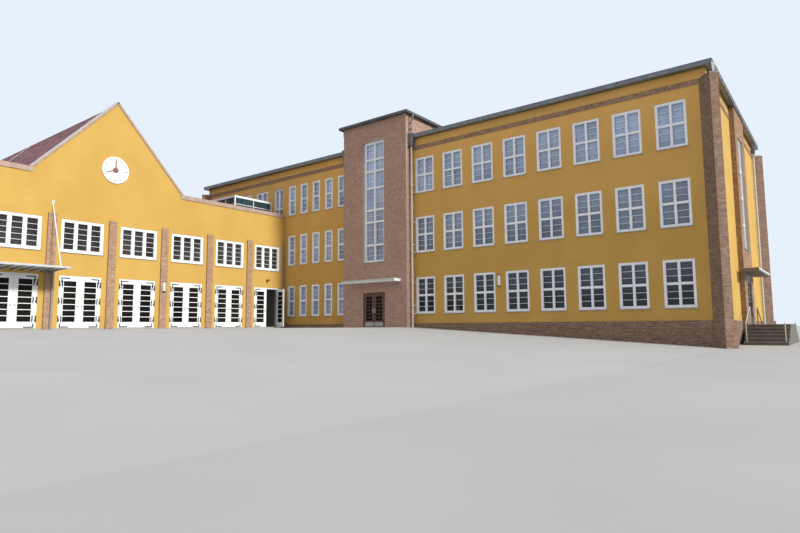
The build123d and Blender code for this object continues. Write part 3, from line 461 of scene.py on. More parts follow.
# Pieces of the CAD that aren't named here are white: windows, hall doors and rods
cad_looks = {
    shade_side_yellow: "main_front_wall main_rear_wall",
    yellow: "main_end_walls hall_front_wall hall_back_wall hall_end_walls hall_gables "
            "hall_door_piers",
    mortar: "main_plinth brick_door_piers end_bay_walls corner_buttresses brick_band "
            "tower_front_wall tower_side_walls hall_pilasters hall_copings",
    timber: "timber_door_frames tower_door_a tower_door_b end_door_a end_door_b",
    grey_render: "hall_base", glass: "main_glass",
    hall_pane: "hall_glass", sheet: "main_roof tower_roof", gutter_sheet: "main_gutters",
    tile: "hall_roof", felt: "hall_flat_roof", floor_screed: "floors", slab_paint: "slab_canopies",
    steps_stone: "end_steps", ribbed_canopy_painted_shade: "hall_canopy", step_rails_painted_light: "end_rails",
    pipe_metal: "rainwater_pipes", iron: "door_hinges", copper: "clock_hands",
    opal: "wall_lamps", dial: "clock_dial",
}
look_of = {name: look for look, names in cad_looks.items() for name in names.split()}
for name, obj in cad.items():
    obj.data.materials.clear()
    obj.data.materials.append(look_of.get(name, white))


# Brickwork

def lay(heap, place, u0, u1, z0, z1, holes=()):
    """Courses of headers and stretchers over one wall face, cut round its holes."""
    for row in range(int(z0 / course), int(z1 / course) + 1):
        low = max(row * course, z0)
        high = min((row + 1) * course - brick_joint, z1)
        if high - low < brick_joint:
            continue
        pitch = brick_length / 2 if row % 2 else brick_length
        shift = brick_length / 4 if row % 2 else (brick_length / 2 if row % 4 else 0)
        spans = [(u0, u1)]
        for h0, h1, l0, l1 in holes:
            if l0 < high and l1 > low:
                spans = [s for a, b in spans for s in ((a, min(b, h0)), (max(a, h1), b))
                         if s[1] - s[0] > brick_joint]
        for a, b in spans:
            first = floor((a - shift) / pitch)
            for k in range(first, ceil((b - shift) / pitch) + 1):
                left = max(shift + k * pitch + brick_joint / 2, a)
                right = min(shift + (k + 1) * pitch - brick_joint / 2, b)
                if right - left > 2 * brick_joint:
                    heap.box(left, right, -proud, 0, low, high, place, draw.random(), True)


def hole(middle, width, low, high):
    """What a door, a window or a slab leaves free in the brickwork."""
    return middle - width / 2, middle + width / 2, low, high


def courses(name, look, runs):
    """One piece of brickwork over several faces."""
    heap = Heap()
    for run in runs:
        lay(heap, *run)
    heap.piece(name, look)


courses("tower_brick_courses", tower_bricks, [
    (tower_front, tower_left, tower_right, 0, tower_top,
     [hole(tower_middle, tall_width, *tower_window), hole(tower_middle, *tower_door),
      hole(tower_middle, *tower_slab)]),
    (tower_right_side, -tower_step, 0, 0, wall_top),
    (tower_left_side, 0, tower_step, 0, wall_top),
    (tower_right_side, -tower_step, tower_back, wall_top, tower_top),
    (tower_left_side, -tower_back, tower_step, wall_top, tower_top),
    (face(0, tower_back, 0, 1), -tower_right, -tower_left, wall_top + 0.3, tower_top)])

runs = [(right_bay, end_low, end_high, 0, wall_top,
         [hole(main_middle, end_width, *end_window), hole(main_middle, *end_door),
          hole(main_middle, 2 * end_half, *end_slab[1:])]),
        (left_bay, -end_high, -end_low, 0, wall_top, [hole(-main_middle, end_width, *end_window)])]
for y, ny in ((end_low, -1), (end_high, 1)):
    for x0, x1 in ((main_right, main_right + end_step), (main_left - end_step, main_left)):
        a, b = sorted((-ny * x0, -ny * x1))
        runs.append((face(0, y, 0, ny), a, b, 0, wall_top))
courses("end_bay_brick_courses", bricks, runs)

# The buttress at the inner corner starts on the hall's coping, the others on the ground.
inner_corner = -135
ledge = 0.012
cap_lip = 0.008
runs = []
ledges = Heap()
caps = Heap()
for x, y, turn in ((main_right, 0, -45), (main_right, main_depth, 45),
                   (main_left, main_depth, 135), (main_left, 0, inner_corner)):
    nx, ny = cos(radians(turn)), sin(radians(turn))
    outer = face(x + nx * buttress_reach, y + ny * buttress_reach, nx, ny)
    start = coping_top if turn == inner_corner else plinth_top
    sections = [(buttress_half, buttress_reach, start, buttress_top)]
    if turn != inner_corner:
        sections.append((foot_half, foot_reach, 0, plinth_top))
        levels = (plinth_top, plinth_top + ledge)
        ledges.strip(0, foot_half, buttress_reach - foot_reach, 0, *levels, outer)
        for side in (-1, 1):
            ledges.box(side * buttress_half, side * foot_half, 0, buttress_reach, *levels, outer)
    for half, reach, z0, z1 in sections:
        runs.append((face(x + nx * reach, y + ny * reach, nx, ny), -half, half, z0, z1))
        for way in (1, -1):
            side = face(x + way * ny * half, y - way * nx * half, way * ny, -way * nx)
            a, b = (-half, reach) if way > 0 else (-reach, half)
            runs.append((side, a, b, z0, z1))
    caps.strip(0, buttress_half + cap_lip, -cap_lip, buttress_reach, buttress_top,
               buttress_top + ledge, outer)
courses("buttress_brick_courses", dark_bricks, runs)
ledges.piece("buttress_ledges", concrete)
caps.piece("buttress_caps", sheet)


def belt(name, look, step, inset, left_start, levels):
    """Courses all round the main wing, this far in front of its walls and in from its corners."""
    runs = [(face(0, -step, 0, -1), a, b, *levels)
            for a, b in ((tower_right, main_right - inset), (left_start, tower_left))]
    runs.append((face(0, main_depth + step, 0, 1), inset - main_right, -main_left - inset, *levels))
    for a, b in ((inset, end_low), (end_high, main_depth - inset)):
        runs.append((face(main_right + step, 0, 1, 0), a, b, *levels))
        runs.append((face(main_left - step, 0, -1, 0), -b, -a, *levels))
    courses(name, look, runs)


inset = sqrt(2) * buttress_half
belt("plinth_brick_courses", dark_bricks, plinth_step, 0, hall_face, (0, plinth_top))
belt("band_brick_courses", bricks, band_step, inset, main_left + inset, band)

runs = []
for i in range(9):
    for x, nx in ((hall_face, 1), (hall_rear, -1))[:2 if i else 1]:
        y = -i * hall_bay
        low = max(y - pilaster_half, hall_end)
        high = y + pilaster_half if i else -0.016
        out = x + nx * pilaster_step
        runs.append((face(out, 0, nx, 0), *sorted((nx * low, nx * high)), 0, pilaster_top))
        for side, edge in ((-1, low), (1, high)):
            a, b = sorted((-side * x, -side * out))
            runs.append((face(0, edge, 0, side), a, b, 0, pilaster_top))
for i in range(1, 6):
    x = hall_face - i * hall_bay
    a, b = x - pilaster_half, x + pilaster_half
    runs.append((face(0, hall_end - pilaster_step, 0, -1), a, b, 0, pilaster_top))
courses("pilaster_brick_courses", pale_bricks, runs)


# Copings: bricks on edge along the front faces, and sheet on the gables' slopes

copings = Heap()
coping_lip = 0.020
coping_near = -coping_lip - proud
coping_tones = (0.35, 0.8)
unit_run = 1 / hypot(1, gable_slope)
unit_rise = gable_slope * unit_run


def edge_run(place, a, b):
    """Bricks on edge along a level coping."""
    for i in range(int((b - a) / course)):
        left = a + i * course
        right = left + course - brick_joint
        levels = (hall_wall_top, coping_top + proud)
        copings.box(left, right, coping_near, 0.262, *levels, place, draw.uniform(*coping_tones))


def edge_slope(place, side):
    """Bricks on edge up one slope of a gable."""
    for i in range(int(gable_start / unit_run / course)):
        start = i * course
        ends = (start, start + course - brick_joint)
        corners = []
        for lift in (-0.060, proud):
            for d in (coping_near, 0.240 - coping_near):
                for s in ends[::-side]:
                    u = gable_start - s * unit_run + lift * unit_rise
                    corners.append(place(side * u, d, coping_top + s * unit_rise + lift * unit_run))
        copings.block(corners, draw.uniform(*coping_tones))


flashing = Heap()
flashing_lift = 0.011
for place in (face(hall_face, hall_axis, 1, 0), face(hall_rear, hall_axis, -1, 0)):
    for side in (-1, 1):
        edge_slope(place, side)
        flashing.bar(place(side * gable_start, 0.12, coping_top + flashing_lift),
                     place(0, 0.12, gable_peak + flashing_lift), 0.292, 0.010)
    edge_run(place, gable_start, -hall_axis - 0.001)
    edge_run(place, hall_axis, -gable_start)
edge_run(hall_far_end, hall_rear + 0.27, hall_face - 0.27)
copings.piece("coping_brick_edge", coping_tiles)
flashing.piece("gable_flashing", pale_sheet)


# Roof tiles

roof_peak = gable_peak - 0.110
roof_front = hall_face - 0.240
roof_back = hall_rear + 0.240
slope_length = (roof_peak - terrace_level) / unit_rise
tile_pitch = 0.168
tile_lap = 0.012
tile_lift = 0.016
tile_profile = ((0, 0.010), (0.22, 0.003), (0.5, 0), (0.78, 0.003), (1, 0.010))
columns = int((roof_front - roof_back) / 0.110)
tile_width = (roof_front - roof_back) / columns
tiles = Heap()


def on_slope(side, x, along, lift):
    """A point on the roof: distance down from the ridge, and height over its face."""
    y = hall_axis + side * (along * unit_run + lift * unit_rise)
    return (x, y, roof_peak - along * unit_rise + lift * unit_run)


for side in (-1, 1):
    for row in range(int(slope_length / tile_pitch) + 1):
        top = row * tile_pitch
        foot = min(top + tile_pitch + tile_lap, slope_length)
        for column in range(columns):
            base = len(tiles.points)
            for share, curl in tile_profile:
                x = roof_back + (column + share) * tile_width
                edge = ((top, 0.004 + curl), (foot, tile_lift + curl), (foot, 0.002), (top, 0.001))
                tiles.points += [on_slope(side, x, along, lift) for along, lift in edge]
            tone = draw.random()
            last = base + 4 * (len(tile_profile) - 1)
            loops = [(a + k, a + (k + 1) % 4, a + 4 + (k + 1) % 4, a + 4 + k)
                     for a in range(base, last, 4) for k in range(4)]
            loops += [(base, base + 3, base + 2, base + 1), (last + 1, last + 2, last + 3, last)]
            for loop in loops:
                tiles.add(loop if side < 0 else loop[::-1], tone)
tiles.piece("hall_roof_tiles", tile)

ridge = Heap()
ridge_length = 0.19
for i in range(int((roof_front - roof_back) / ridge_length) + 1):
    x0 = roof_back + i * ridge_length
    x1 = min(x0 + ridge_length + tile_lap, roof_front)
    if x1 - x0 > 0.02:
        ridge.ring((hall_axis, roof_peak - 0.035),
                   ((x0, 0.043), (x0, 0.055), (x1, 0.061), (x1, 0.049)), 8, pi, draw.random())
ridge.piece("hall_ridge_tiles", tile)


# Windows

def between(edges, bar):
    """The stretches between the edges; bars stand on all of them but the first and the last."""
    last = len(edges) - 2
    return [(a + (bar / 2 if i else 0), b - (bar / 2 if i < last else 0))
            for i, (a, b) in enumerate(zip(edges, edges[1:]))]


def lights(u, width, bottom, top, member, mullions, rows, bar=mullion):
    """The openings between the members of one frame."""
    half = width / 2 - member
    spans = between([u - half, *(u + m for m in mullions), u + half], bar)
    levels = between([bottom + member, *rows, top - member], bar)
    return [(*span, *level) for span in spans for level in levels]


sash = 0.009
sash_near = 0.022
sash_far = 0.052
glazing_bar = 0.010
bar_near = 0.036


def border(heap, place, light, width, lap, near, far):
    """Four strips round an opening; the level ones start this far in."""
    x0, x1, z0, z1 = light
    for a, b in ((x0, x0 + width), (x1 - width, x1)):
        heap.box(a, b, near, far, z0, z1, place)
    for a, b in ((z0, z0 + width), (z1 - width, z1)):
        heap.box(x0 + lap, x1 - lap, near, far, a, b, place)


def glaze(heap, place, light, count, back):
    """A sash round one light and its level glazing bars."""
    x0, x1, z0, z1 = light
    border(heap, place, light, sash, sash, back + sash_near, back + sash_far)
    for k in range(1, count + 1):
        z = z0 + (z1 - z0) * k / (count + 1)
        levels = (z - glazing_bar / 2, z + glazing_bar / 2)
        heap.box(x0 + sash, x1 - sash, back + bar_near, back + sash_far, *levels, place)


def sill(place, u, width, bottom):
    """A folded metal sill whose top falls outwards, with a drip edge and turned-up ends."""
    near = -0.026
    low = bottom - 0.010
    a, b = u - width / 2 - 0.016, u + width / 2 + 0.016
    top = ((near, low), (set_back, low), (near, low + 0.005), (set_back, low + 0.014))
    sill_heap.block([place(x, d, z) for d, z in top for x in (a, b)])
    sill_heap.box(a, b, near, near + 0.003, low - 0.008, low, place)
    for end in (a, b - 0.004):
        sill_heap.box(end, end + 0.004, near, 0, low, low + 0.020, place)


def blind(place, u, width, top, drop, back):
    """A slatted blind behind the glass, let down by this much."""
    pitch = 0.0145
    half = width / 2 - 0.085
    slat_edges = ((-0.005, -0.0062), (0.006, 0.0038), (-0.005, -0.005), (0.006, 0.005))
    blinds.strip(u, half, back - 0.006, back + 0.016, top - 0.035, top - 0.010, place)
    count = int(drop / pitch)
    for k in range(count):
        z = top - 0.040 - k * pitch
        blinds.block([place(a, back + d, z + lift) for d, lift in slat_edges
                      for a in (u - half, u + half)])
    z = top - 0.042 - count * pitch
    blinds.strip(u, half, back - 0.006, back + 0.007, z - 0.008, z, place)


def crossing(heap, place, u, width, member, middle, back=set_back):
    """A cross member over the clear width of one frame."""
    heap.strip(u, width / 2 - member, back - 0.001, back + frame_depth - 0.004,
               middle - mullion / 2, middle + mullion / 2, place)


def upright(heap, place, u, low, high, width):
    """An upright member over the clear height of one frame."""
    heap.strip(u, width / 2, set_back, set_back + frame_depth - 0.004, low, high, place)


sill_heap = Heap()
blinds = Heap()
drops = ((0.0, 0.55), (0.25, 0.85), (0.75, 1.0))
blind_box = 0.12


def row_of_windows(heap, place, places, rows=sills, width=wide_width, member=frame_member,
                   mullions=(0,)):
    """Cross members, sashes, bars, sills and blinds of one kind of window."""
    for bottom in rows:
        top = bottom + window_height
        cross = bottom + window_height / 2
        for u in places:
            crossing(heap, place, u, width, member, cross)
            if place is rear:
                upright(heap, place, u, bottom + member, top - member, mullion)
            for light in lights(u, width, bottom, top, member, mullions, [cross]):
                glaze(heap, place, light, 2, set_back)
            sill(place, u, width, bottom)
            share = draw.uniform(*drops[sills.index(bottom)])
            if share > blind_box:
                back = 0.225 if place is rear else set_back + frame_depth + 0.024
                drop = share * (window_height - blind_box)
                blind(place, u, width, top - member / 2, drop, back)


bars = Heap()
row_of_windows(bars, front, wide_places)
row_of_windows(bars, front, upper_places, sills[2:])
bars.piece("wide_window_sashes", white)
bars = Heap()
row_of_windows(bars, front, narrow_places, sills, narrow_width, narrow_member, ())
door_head = sills[2] + window_height
door_rail = (terrace_level + door_head) / 2
crossing(bars, front, *terrace_door, narrow_member, door_rail, tall_set_back)
for light in lights(*terrace_door, terrace_level, door_head, narrow_member, [0], [door_rail]):
    glaze(bars, front, light, 2, tall_set_back)
bars.piece("narrow_window_sashes", white)
bars = Heap()
row_of_windows(bars, rear, rear_places)
bars.piece("rear_window_sashes", white)
blinds.piece("window_blinds", slat)

bars = Heap()
tower_rows = (3.157, 3.916, 4.315, 5.053, 5.617, 6.006)
end_rows = (3.300, 4.080, 4.860)
for place, u, width, levels, rows in (
        (tower_front, tower_middle, tall_width, tower_window, tower_rows),
        (right_bay, main_middle, end_width, end_window, end_rows),
        (left_bay, -main_middle, end_width, end_window, end_rows)):
    for light in lights(u, width, *levels, tall_member, [0], rows, tall_mullion):
        glaze(bars, place, light, 2 if light[3] - light[2] > 0.45 else 1, tall_set_back)
    sill(place, u, width, levels[0])
bars.piece("tall_window_sashes", white)

bars = Heap()
hall_light = (hall_width - 2 * hall_member - 2 * hall_mullion) / 3
hall_mullions = [side * (hall_light + hall_mullion) / 2 for side in (-1, 1)]
for place, places, rows in ((hall_front, hall_places, hall_sills[1:]),
                            (hall_back, [-u for u in hall_places], hall_sills),
                            (hall_far_end, hall_end_places, hall_sills)):
    for bottom in rows:
        top = bottom + hall_height
        for u in places:
            for m in hall_mullions if place is not hall_front else ():
                upright(bars, place, u + m, bottom + hall_member, top - hall_member, hall_mullion)
            for light in lights(u, hall_width, bottom, top, hall_member, hall_mullions, (),
                                hall_mullion):
                glaze(bars, place, light, 4, set_back)
            sill(place, u, hall_width, bottom)
bars.piece("hall_window_sashes", white)
sill_heap.piece("window_sills", zinc)


# Door leaves

leaf_gap = 0.006
strap_thickness = 0.003
hinge_shares = (0.16, 0.52, 0.86)
hall_style = (0.072, 0.096, 0.150, 0.088, 7, 1, white, "white_paint")
timber_style = (0.070, 0.070, 0.190, 0.080, 7, 2, timber, "dark_timber")

# Handles: half width, how far the outer and the inner side stand off, low and high edge
latch = ((0.008, 0.004, 0, -0.022, 0.022), (0.004, 0.014, 0, -0.004, 0.004))
pull = ((0.012, 0.004, 0, -0.060, 0.060), (0.006, 0.034, 0.004, -0.045, -0.033),
        (0.006, 0.034, 0.004, 0.033, 0.045), (0.007, 0.044, 0.032, -0.070, 0.070))


def swung(place, u, turn):
    """The same wall face, turned about an upright axis, as on an open leaf."""
    cx, cy, _ = place(u, door_near - 0.008, 0)
    c, s = cos(turn), sin(turn)

    def moved(a, b, z):
        x, y, _ = place(a, b, z)
        return cx + (x - cx) * c - (y - cy) * s, cy + (x - cx) * s + (y - cy) * c, z

    return moved


def leaf_frame(u, side, door):
    """Outer edge, inner edge, foot and head of one leaf."""
    width, foot, head = door
    return (u + side * (width / 2 - door_member - leaf_gap), u + side * leaf_gap / 2, foot + 0.009,
            head - door_member - leaf_gap)


def straps(heap, edge, way, arm, plate, low, high):
    """The ironwork of the long hinges on one side: a level arm, and an upright plate."""
    for share in hinge_shares:
        z = low + (high - low) * share
        for (a, b), foot, top in ((arm, 0.003, 0.031), (plate, -0.072, 0.106)):
            a, b = edge + way * a, edge + way * b
            heap.box(a, b, door_near - strap_thickness, door_near, z + foot, z + top)


def dress_leaf(name, body, place, u, side, door, style):
    """Panes, bars and ironwork of one leaf."""
    stile, meeting, bottom_rail, top_rail, rows, columns, look, slot = style
    outer, inner, low, high = leaf_frame(u, side, door)
    g0, g1 = sorted((inner + side * meeting, outer - side * stile))
    z0, z1 = low + bottom_rail, high - top_rail
    mid = door_near + leaf_thickness / 2
    pane = Heap(place)
    pane.box(g0, g1, mid - 0.003, mid + 0.003, z0, z1)
    pane.piece(name + "_pane", door_glass, body)
    bars = Heap(place)
    for k in range(1, rows):
        z = z0 + (z1 - z0) * k / rows
        bars.box(g0, g1, mid - 0.010, mid + 0.010, z - 0.009, z + 0.009)
    for k in range(1, columns):
        bars.strip(g0 + (g1 - g0) * k / columns, 0.007, mid - 0.009, mid + 0.009, z0, z1)
    border(bars, place, (g0, g1, z0, z1), 0.008, 0, mid - 0.011, mid + 0.011)
    bars.piece(name + "_bars", look, body)
    metal = Heap(place)
    if style is hall_style:
        straps(metal, outer, -side, (0.004, 0.032), (0.032, 0.062), low, high)
        flat = []
        for end, way, length in ((low, 1, 0.115), (high, -1, 0.200)):
            for across, along in ((0.240, 0.038), (0.038, length)):
                levels = sorted((end + way * 0.010, end + way * along))
                flat.append((outer - side * 0.010, outer - side * across, *levels))
        grip, a, parts = low + 0.58, inner + side * 0.045, latch
        metal.box(a - 0.004, a + side * 0.040, door_near - 0.020, door_near - 0.012, grip - 0.004,
                  grip + 0.004)
    else:
        flat = [(inner + side * 0.012, outer - side * 0.040, low + 0.015, low + 0.150)]
        grip, a, parts = low + 0.52, inner + side * 0.035, pull
    for start, end, foot, top in flat:
        metal.box(start, end, door_near - strap_thickness, door_near, foot, top)
    for half, far, near, foot, top in parts:
        metal.strip(a, half, door_near - far, door_near - near, grip + foot, grip + top)
    # The tower door's ironwork is zinc and the rest black iron; on the end door the black stands
    # for painted shade from its canopy.
    metal.piece(name + "_ironwork", zinc if place is tower_front else iron, body)


doors = [(f"hall_door_{i + 1}", hall_front, u, hall_door, hall_style)
         for i, u in enumerate(hall_places)]
doors += [("tower_door_", tower_front, tower_middle, tower_door, timber_style),
          ("end_door_", right_bay, main_middle, end_door, timber_style)]
for start, place, u, door, style in doors:
    for letter, side in (("a", 1), ("b", -1)):
        name = start + letter
        body = "building" if start in ("hall_door_7", "hall_door_8") else name + "_leaf"
        spot = place
        if name == "hall_door_1a":
            hinge = u + side * (door[0] / 2 - door_member - leaf_gap / 2)
            spot = swung(place, hinge, open_leaf_angle)
        dress_leaf(name, body, spot, u, side, door, style)

fixed = Heap(hall_front)
for u in hall_places:
    for side in (1, -1):
        outer, inner, low, high = leaf_frame(u, side, hall_door)
        straps(fixed, outer + side * leaf_gap, side, (0, 0.012), (0.012, 0.039), low, high)
fixed.piece("hall_frame_straps", iron)


# Clock face

dial_near = 0.024


def on_clock(degrees):
    """The dial turned clockwise: across, into the wall, and out from the hub."""
    c, s = cos(radians(degrees)), sin(radians(degrees))
    return lambda a, d, b: hall_front(hall_axis + a * c + b * s, d - dial_near,
                                      clock_level - a * s + b * c)


marks = Heap()
for hour in range(12):
    marks.strip(0, 0.013, -0.003, 0, 0.300 if hour % 3 else 0.283, 0.348, on_clock(30 * hour))
marks.piece("clock_hour_marks", hour_paint)
rim = Heap()
hands = Heap()
hand_length = 0.285
for heap, out, inner, outer, depth, count in ((rim, 0.016, 0.370, 0.391, 0.014, 64),
                                              (hands, dial_near, 0.001, 0.080, 0.013, 32)):
    x = hall_face + out
    section = ((x, inner), (x, outer), (x + depth, outer), (x + depth, inner))
    heap.ring((hall_axis, clock_level), section, count)
rim.piece("clock_rim", dial)
for degrees, width in ((1, 0.042), (249, 0.038)):
    place = on_clock(degrees)
    hands.block([place(side * width / share, -lift, b) for lift in (0.001, 0.008)
                 for share, b in ((2, 0), (3, hand_length)) for side in (-1, 1)])
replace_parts(hands.piece("clock_hand_blades", copper), "clock_hands")


# Roof sheet seams and gutters

seams = Heap()
eaves = 0.164
gutter = 0.110
roof_base = wall_top + 0.060
roof_rise = 0.600
seam_pitch = 0.310
tower_gap = 0.02
rx0, rx1 = main_left - eaves + gutter, main_right + eaves - gutter
ry0, ry1 = -eaves + gutter, main_depth + eaves - gutter
roof_half = (ry1 - ry0) / 2


def seam(x0, y0, x1, y1, lift=0.007, width=0.012, height=0.014):
    """A standing seam between two places on the hipped roof."""
    ends = []
    for x, y in ((x0, y0), (x1, y1)):
        run = min(x - rx0, rx1 - x, y - ry0, ry1 - y)
        ends.append((x, y, roof_base + run * roof_rise / roof_half + lift))
    seams.bar(*ends, width, height)


count = int((rx1 - rx0) / seam_pitch)
for i in range(1, count):
    x = rx0 + i * (rx1 - rx0) / count
    run = min(roof_half, x - rx0, rx1 - x)
    at_tower = tower_left - tower_gap < x < tower_right + tower_gap
    start = tower_back + tower_gap if at_tower else ry0
    if start < ry0 + run:
        seam(x, start, x, ry0 + run)
    seam(x, ry1, x, ry1 - run)
count = int((ry1 - ry0) / seam_pitch)
for i in range(1, count):
    y = ry0 + i * (ry1 - ry0) / count
    run = min(y - ry0, ry1 - y)
    seam(rx0, y, rx0 + run, y)
    seam(rx1, y, rx1 - run, y)
hip = (0.008, 0.030, 0.018)
for x, inner in ((rx0, rx0 + roof_half), (rx1, rx1 - roof_half)):
    for y in (ry0, ry1):
        seam(x, y, inner, main_middle, *hip)
seam(rx0 + roof_half, main_middle, rx1 - roof_half, main_middle, *hip)
seams.piece("roof_seams", sheet)

beads = Heap()
bx0, bx1, by0, by1 = main_left - eaves, main_right + eaves, -eaves, main_depth + eaves
head_reach = 0.1905
joint_pitch = 0.45
for start, end in (((bx0, by0), (tower_left - head_reach, by0)),
                   ((tower_right + head_reach, by0), (bx1, by0)), ((bx1, by0), (bx1, by1)),
                   ((bx1, by1), (bx0, by1)), ((bx0, by1), (bx0, by0))):
    for z, width in ((gutter_top - 0.008, 0.018), (wall_top + 0.010, 0.010)):
        beads.bar((*start, z), (*end, z), width)
    length = dist(start, end)
    for k in range(1, int(length / joint_pitch)):
        share = k * joint_pitch / length
        x, y = (a + (b - a) * share for a, b in zip(start, end))
        beads.bar((x, y, wall_top + 0.004), (x, y, gutter_top), 0.014)
beads.piece("gutter_beads", gutter_sheet)


# Pipes, canopies, lamps, wires and the pavilion's bars

clips = Heap()
heads = Heap()
pipe_place = 0.095
for place, u, centre in ((front, tower_right + pipe_place, 0.137),
                         (front, tower_left - pipe_place, 0.137),
                         (right_end, main_depth - 0.420, 0.067)):
    for z in (0.9 + k * 0.95 for k in range(6)):
        clips.strip(u, 0.032, -centre - 0.032, 0, z, z + 0.018, place)
    for z in (2.1, 4.2):
        clips.strip(u, 0.031, -centre - 0.031, 0.031 - centre, z, z + 0.05, place)
for side, edge in ((1, tower_right), (-1, tower_left)):
    u = edge + side * pipe_place
    heads.strip(u, 0.099, -0.220, -0.055, 6.570, 6.594)
    heads.strip(u, 0.058, -0.220, -0.055, 6.190, 6.204)
    for z in (6.75, 6.95):
        heads.box(edge, u + side * 0.030, -0.167, -0.107, z, z + 0.016)
clips.piece("pipe_brackets", pipe_metal)
heads.piece("rainwater_head_rims", sheet)

trim = Heap(hall_front)
canopy_middle = -5.5 * hall_bay
canopy_half = 0.9125
levels = (canopy_under - 0.004, canopy_top + 0.006)
trim.strip(canopy_middle, canopy_half + 0.005, -1.030, -1.025, *levels)
for side in (-1, 1):
    edge = canopy_middle + side * canopy_half
    trim.box(edge, edge + side * 0.005, -1.030, -0.050, *levels)
    u = canopy_middle + side * hall_bay / 2
    trim.strip(u, 0.035, -0.012, 0, 3.850, 3.960)
    trim.strip(u, 0.030, -0.760, -0.680, canopy_top, canopy_top + 0.008)
trim.piece("canopy_trim", pale_sheet)

edges = Heap()
for place, middle, (width, low, top), reach in ((tower_front, tower_middle, tower_slab, 0.328),
                                                (right_bay, main_middle, end_slab, 0.380)):
    edges.strip(middle, width / 2 + 0.006, -reach - 0.006, -reach, low + 0.035, top + 0.006, place)
    edges.strip(middle, width / 2, -reach, 0, top, top + 0.006, place)
edges.piece("canopy_edges", pale_sheet)

strips = Heap(right_bay)
edging = 0.028
width, low, high = end_door
for side in (-1, 1):
    edge = main_middle + side * width / 2
    strips.box(edge, edge + side * edging, -0.008, 0, low, high + edging)
strips.strip(main_middle, width / 2, -0.008, 0, high, high + edging)
strips.piece("end_door_surround", pale_sheet)

drips = Heap(tower_front)
lip = 0.123
drip_half = (tower_right - tower_left) / 2 + lip
drip_back = tower_back + tower_step + lip
levels = (tower_top - 0.004, tower_roof_top)
drips.strip(tower_middle, drip_half + 0.006, -lip - 0.006, -lip, *levels)
drips.strip(tower_middle, drip_half, drip_back, drip_back + 0.006, *levels)
for side in (-1, 1):
    edge = tower_middle + side * drip_half
    drips.box(edge, edge + side * 0.004, -lip - 0.006, drip_back, *levels)
drips.piece("tower_roof_drip_edges", sheet)

caps = Heap()
for place, u in ((front, 2.522), (face(hall_face + pilaster_step, 0, 1, 0), -3 * hall_bay)):
    for z in (1.628, 1.926):
        caps.strip(u, 0.046, -0.080, 0, z, z + 0.014, place)
    caps.strip(u, 0.005, -0.080, -0.072, 1.640, 1.930, place)
caps.piece("lamp_caps", iron)
door_lamp = Heap(hall_front)
door_lamp.strip(hall_places[0], 0.034, -0.124, 0, 2.176, 2.244)
door_lamp.piece("door_lamp_housing", lamp_red)

noses = Heap()
step_near = main_right + end_step + 0.0005
step_count = 6
for k in range(step_count):
    edge = end_half + 0.1855 * k
    top = end_door[1] * (1 - k / step_count)
    for side in (-1, 1):
        a, b = sorted((main_middle + side * edge, main_middle + side * (edge + 0.006)))
        noses.block([(x, y, z) for z in (top - 0.012, top + 0.002) for y in (a, b)
                     for x in (step_near, step_near + 0.945)])
noses.piece("step_nosings", concrete)

wires = Heap()
wire = 0.006
wire_lift = 0.045
roof_wire = -12.600
apex = on_slope(1, 0, 0, wire_lift)[2]
wires.bar((roof_back, hall_axis, apex), (roof_front, hall_axis, apex), wire)
for side in (-1, 1):
    wires.bar(on_slope(side, roof_wire, 0.03, wire_lift),
              on_slope(side, roof_wire, slope_length - 0.05, wire_lift), 2 * wire)
wires.bar((main_right - 0.03, -0.100, 6.40), (main_right - 0.03, -0.100, 0.62), wire)
wires.piece("lightning_wires", zinc)

pavilion_right = hall_face - 0.794
pavilion_length = 2.252
pavilion_depth = 1.706
terrace = face(pavilion_right - pavilion_length, -pavilion_depth, 0, -1)
pavilion_side = face(pavilion_right, 0, 1, 0)
levels = (4.304, 5.270)
rail = (5.02, 5.04)
bars = Heap()
for share in (0.25, 0.75):
    bars.strip(share * pavilion_length, 0.012, 0.004, 0.020, *levels, terrace)
bars.box(0.04, pavilion_length - 0.04, 0.004, 0.020, *rail, terrace)
bars.strip(-pavilion_depth / 2, 0.012, 0.002, 0.018, *levels, pavilion_side)
bars.box(0.04 - pavilion_depth, -0.04, 0.002, 0.018, *rail, pavilion_side)
bars.piece("pavilion_bars", white)
cover = Heap(terrace)
depths = (0.012, pavilion_depth - 0.001)
cover_top = 5.346
cover.box(0.012, pavilion_length - 0.012, *depths, cover_top - 0.006, cover_top)
for k in range(1, 6):
    cover.strip(k * pavilion_length / 6, 0.006, *depths, cover_top, cover_top + 0.010)
cover.piece("pavilion_roof_sheet", zinc)


# Floor, light and camera

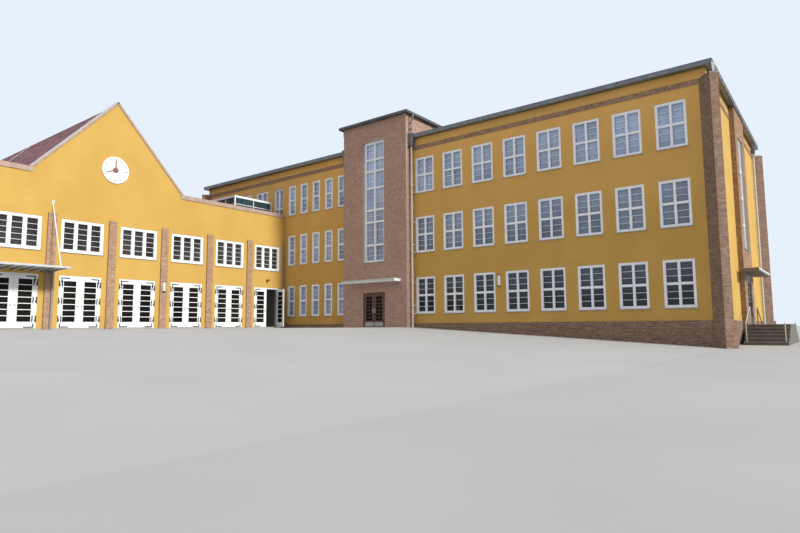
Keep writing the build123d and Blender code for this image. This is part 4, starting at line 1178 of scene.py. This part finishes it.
floor_mesh = bpy.data.meshes.new("studio_floor")
reach = 90
slope = ((-reach, 0.492), (-0.5, 0.492), (8.07, 0.0), (reach, 0.0))
floor_mesh.from_pydata([(x, y, z) for y in (-reach, reach) for x, z in slope], [],
                       [(k, k + 1, k + 5, k + 4) for k in range(3)])
floor_look = Look("studio_floor", 0.9)
floor_tone = floor_look.ramp(floor_look.noise(0.8, 3), (0.3, (0.40, 0.40, 0.405)),
                             (0.7, (0.43, 0.43, 0.435)))
floor_look.set(floor_look.shader, Base_Color=floor_tone)
floor_mesh.materials.append(floor_look.look)
placed("studio_floor", floor_mesh)

# One sky lights the building, and a bluer one is seen and mirrored
world = bpy.data.worlds.new("studio")
scene.world = world
sky = Nodes(world)
lit_sky = sky.tree.nodes["Background"]
sky.set(lit_sky, Color=(0.92, 0.93, 0.95), Strength=0.74)
seen_sky = sky.node("ShaderNodeBackground", Color=(0.80, 0.88, 0.97), Strength=1.0)
rays = sky.node("ShaderNodeLightPath").outputs
seen = sky.maths("MAXIMUM", rays["Is Camera Ray"], rays["Is Glossy Ray"])
join = sky.node("ShaderNodeMixShader")
sky.feed(join.inputs, seen, lit_sky.outputs[0], seen_sky.outputs[0])
sky.set(sky.tree.nodes["World Output"], Surface=join.outputs[0])

key = bpy.data.lights.new("key", "SUN")
key.energy = 3.8
key.angle = radians(8)
key.color = (1.0, 0.99, 0.93)
key_place = placed("key", key)
key_place.rotation_mode = "QUATERNION"
key_place.rotation_quaternion = Vector((1.0, 0.0, 0.55)).to_track_quat("Z", "Y")

camera = bpy.data.cameras.new("camera")
camera.lens = 26.15
camera.sensor_width = 36
camera.clip_start = 0.05
camera.clip_end = 400
view = placed("camera", camera)
yaw, pitch, roll = -0.6563, 0.1025, -0.0064
stand = Matrix.Translation((10.2408, -14.5755, 0.5228))
for turn, axis in ((-yaw, "Z"), (pi / 2 + pitch, "X"), (roll, "Z")):
    stand @= Matrix.Rotation(turn, 4, axis)
view.matrix_world = stand
scene.camera = view

scene.view_settings.view_transform = "Standard"
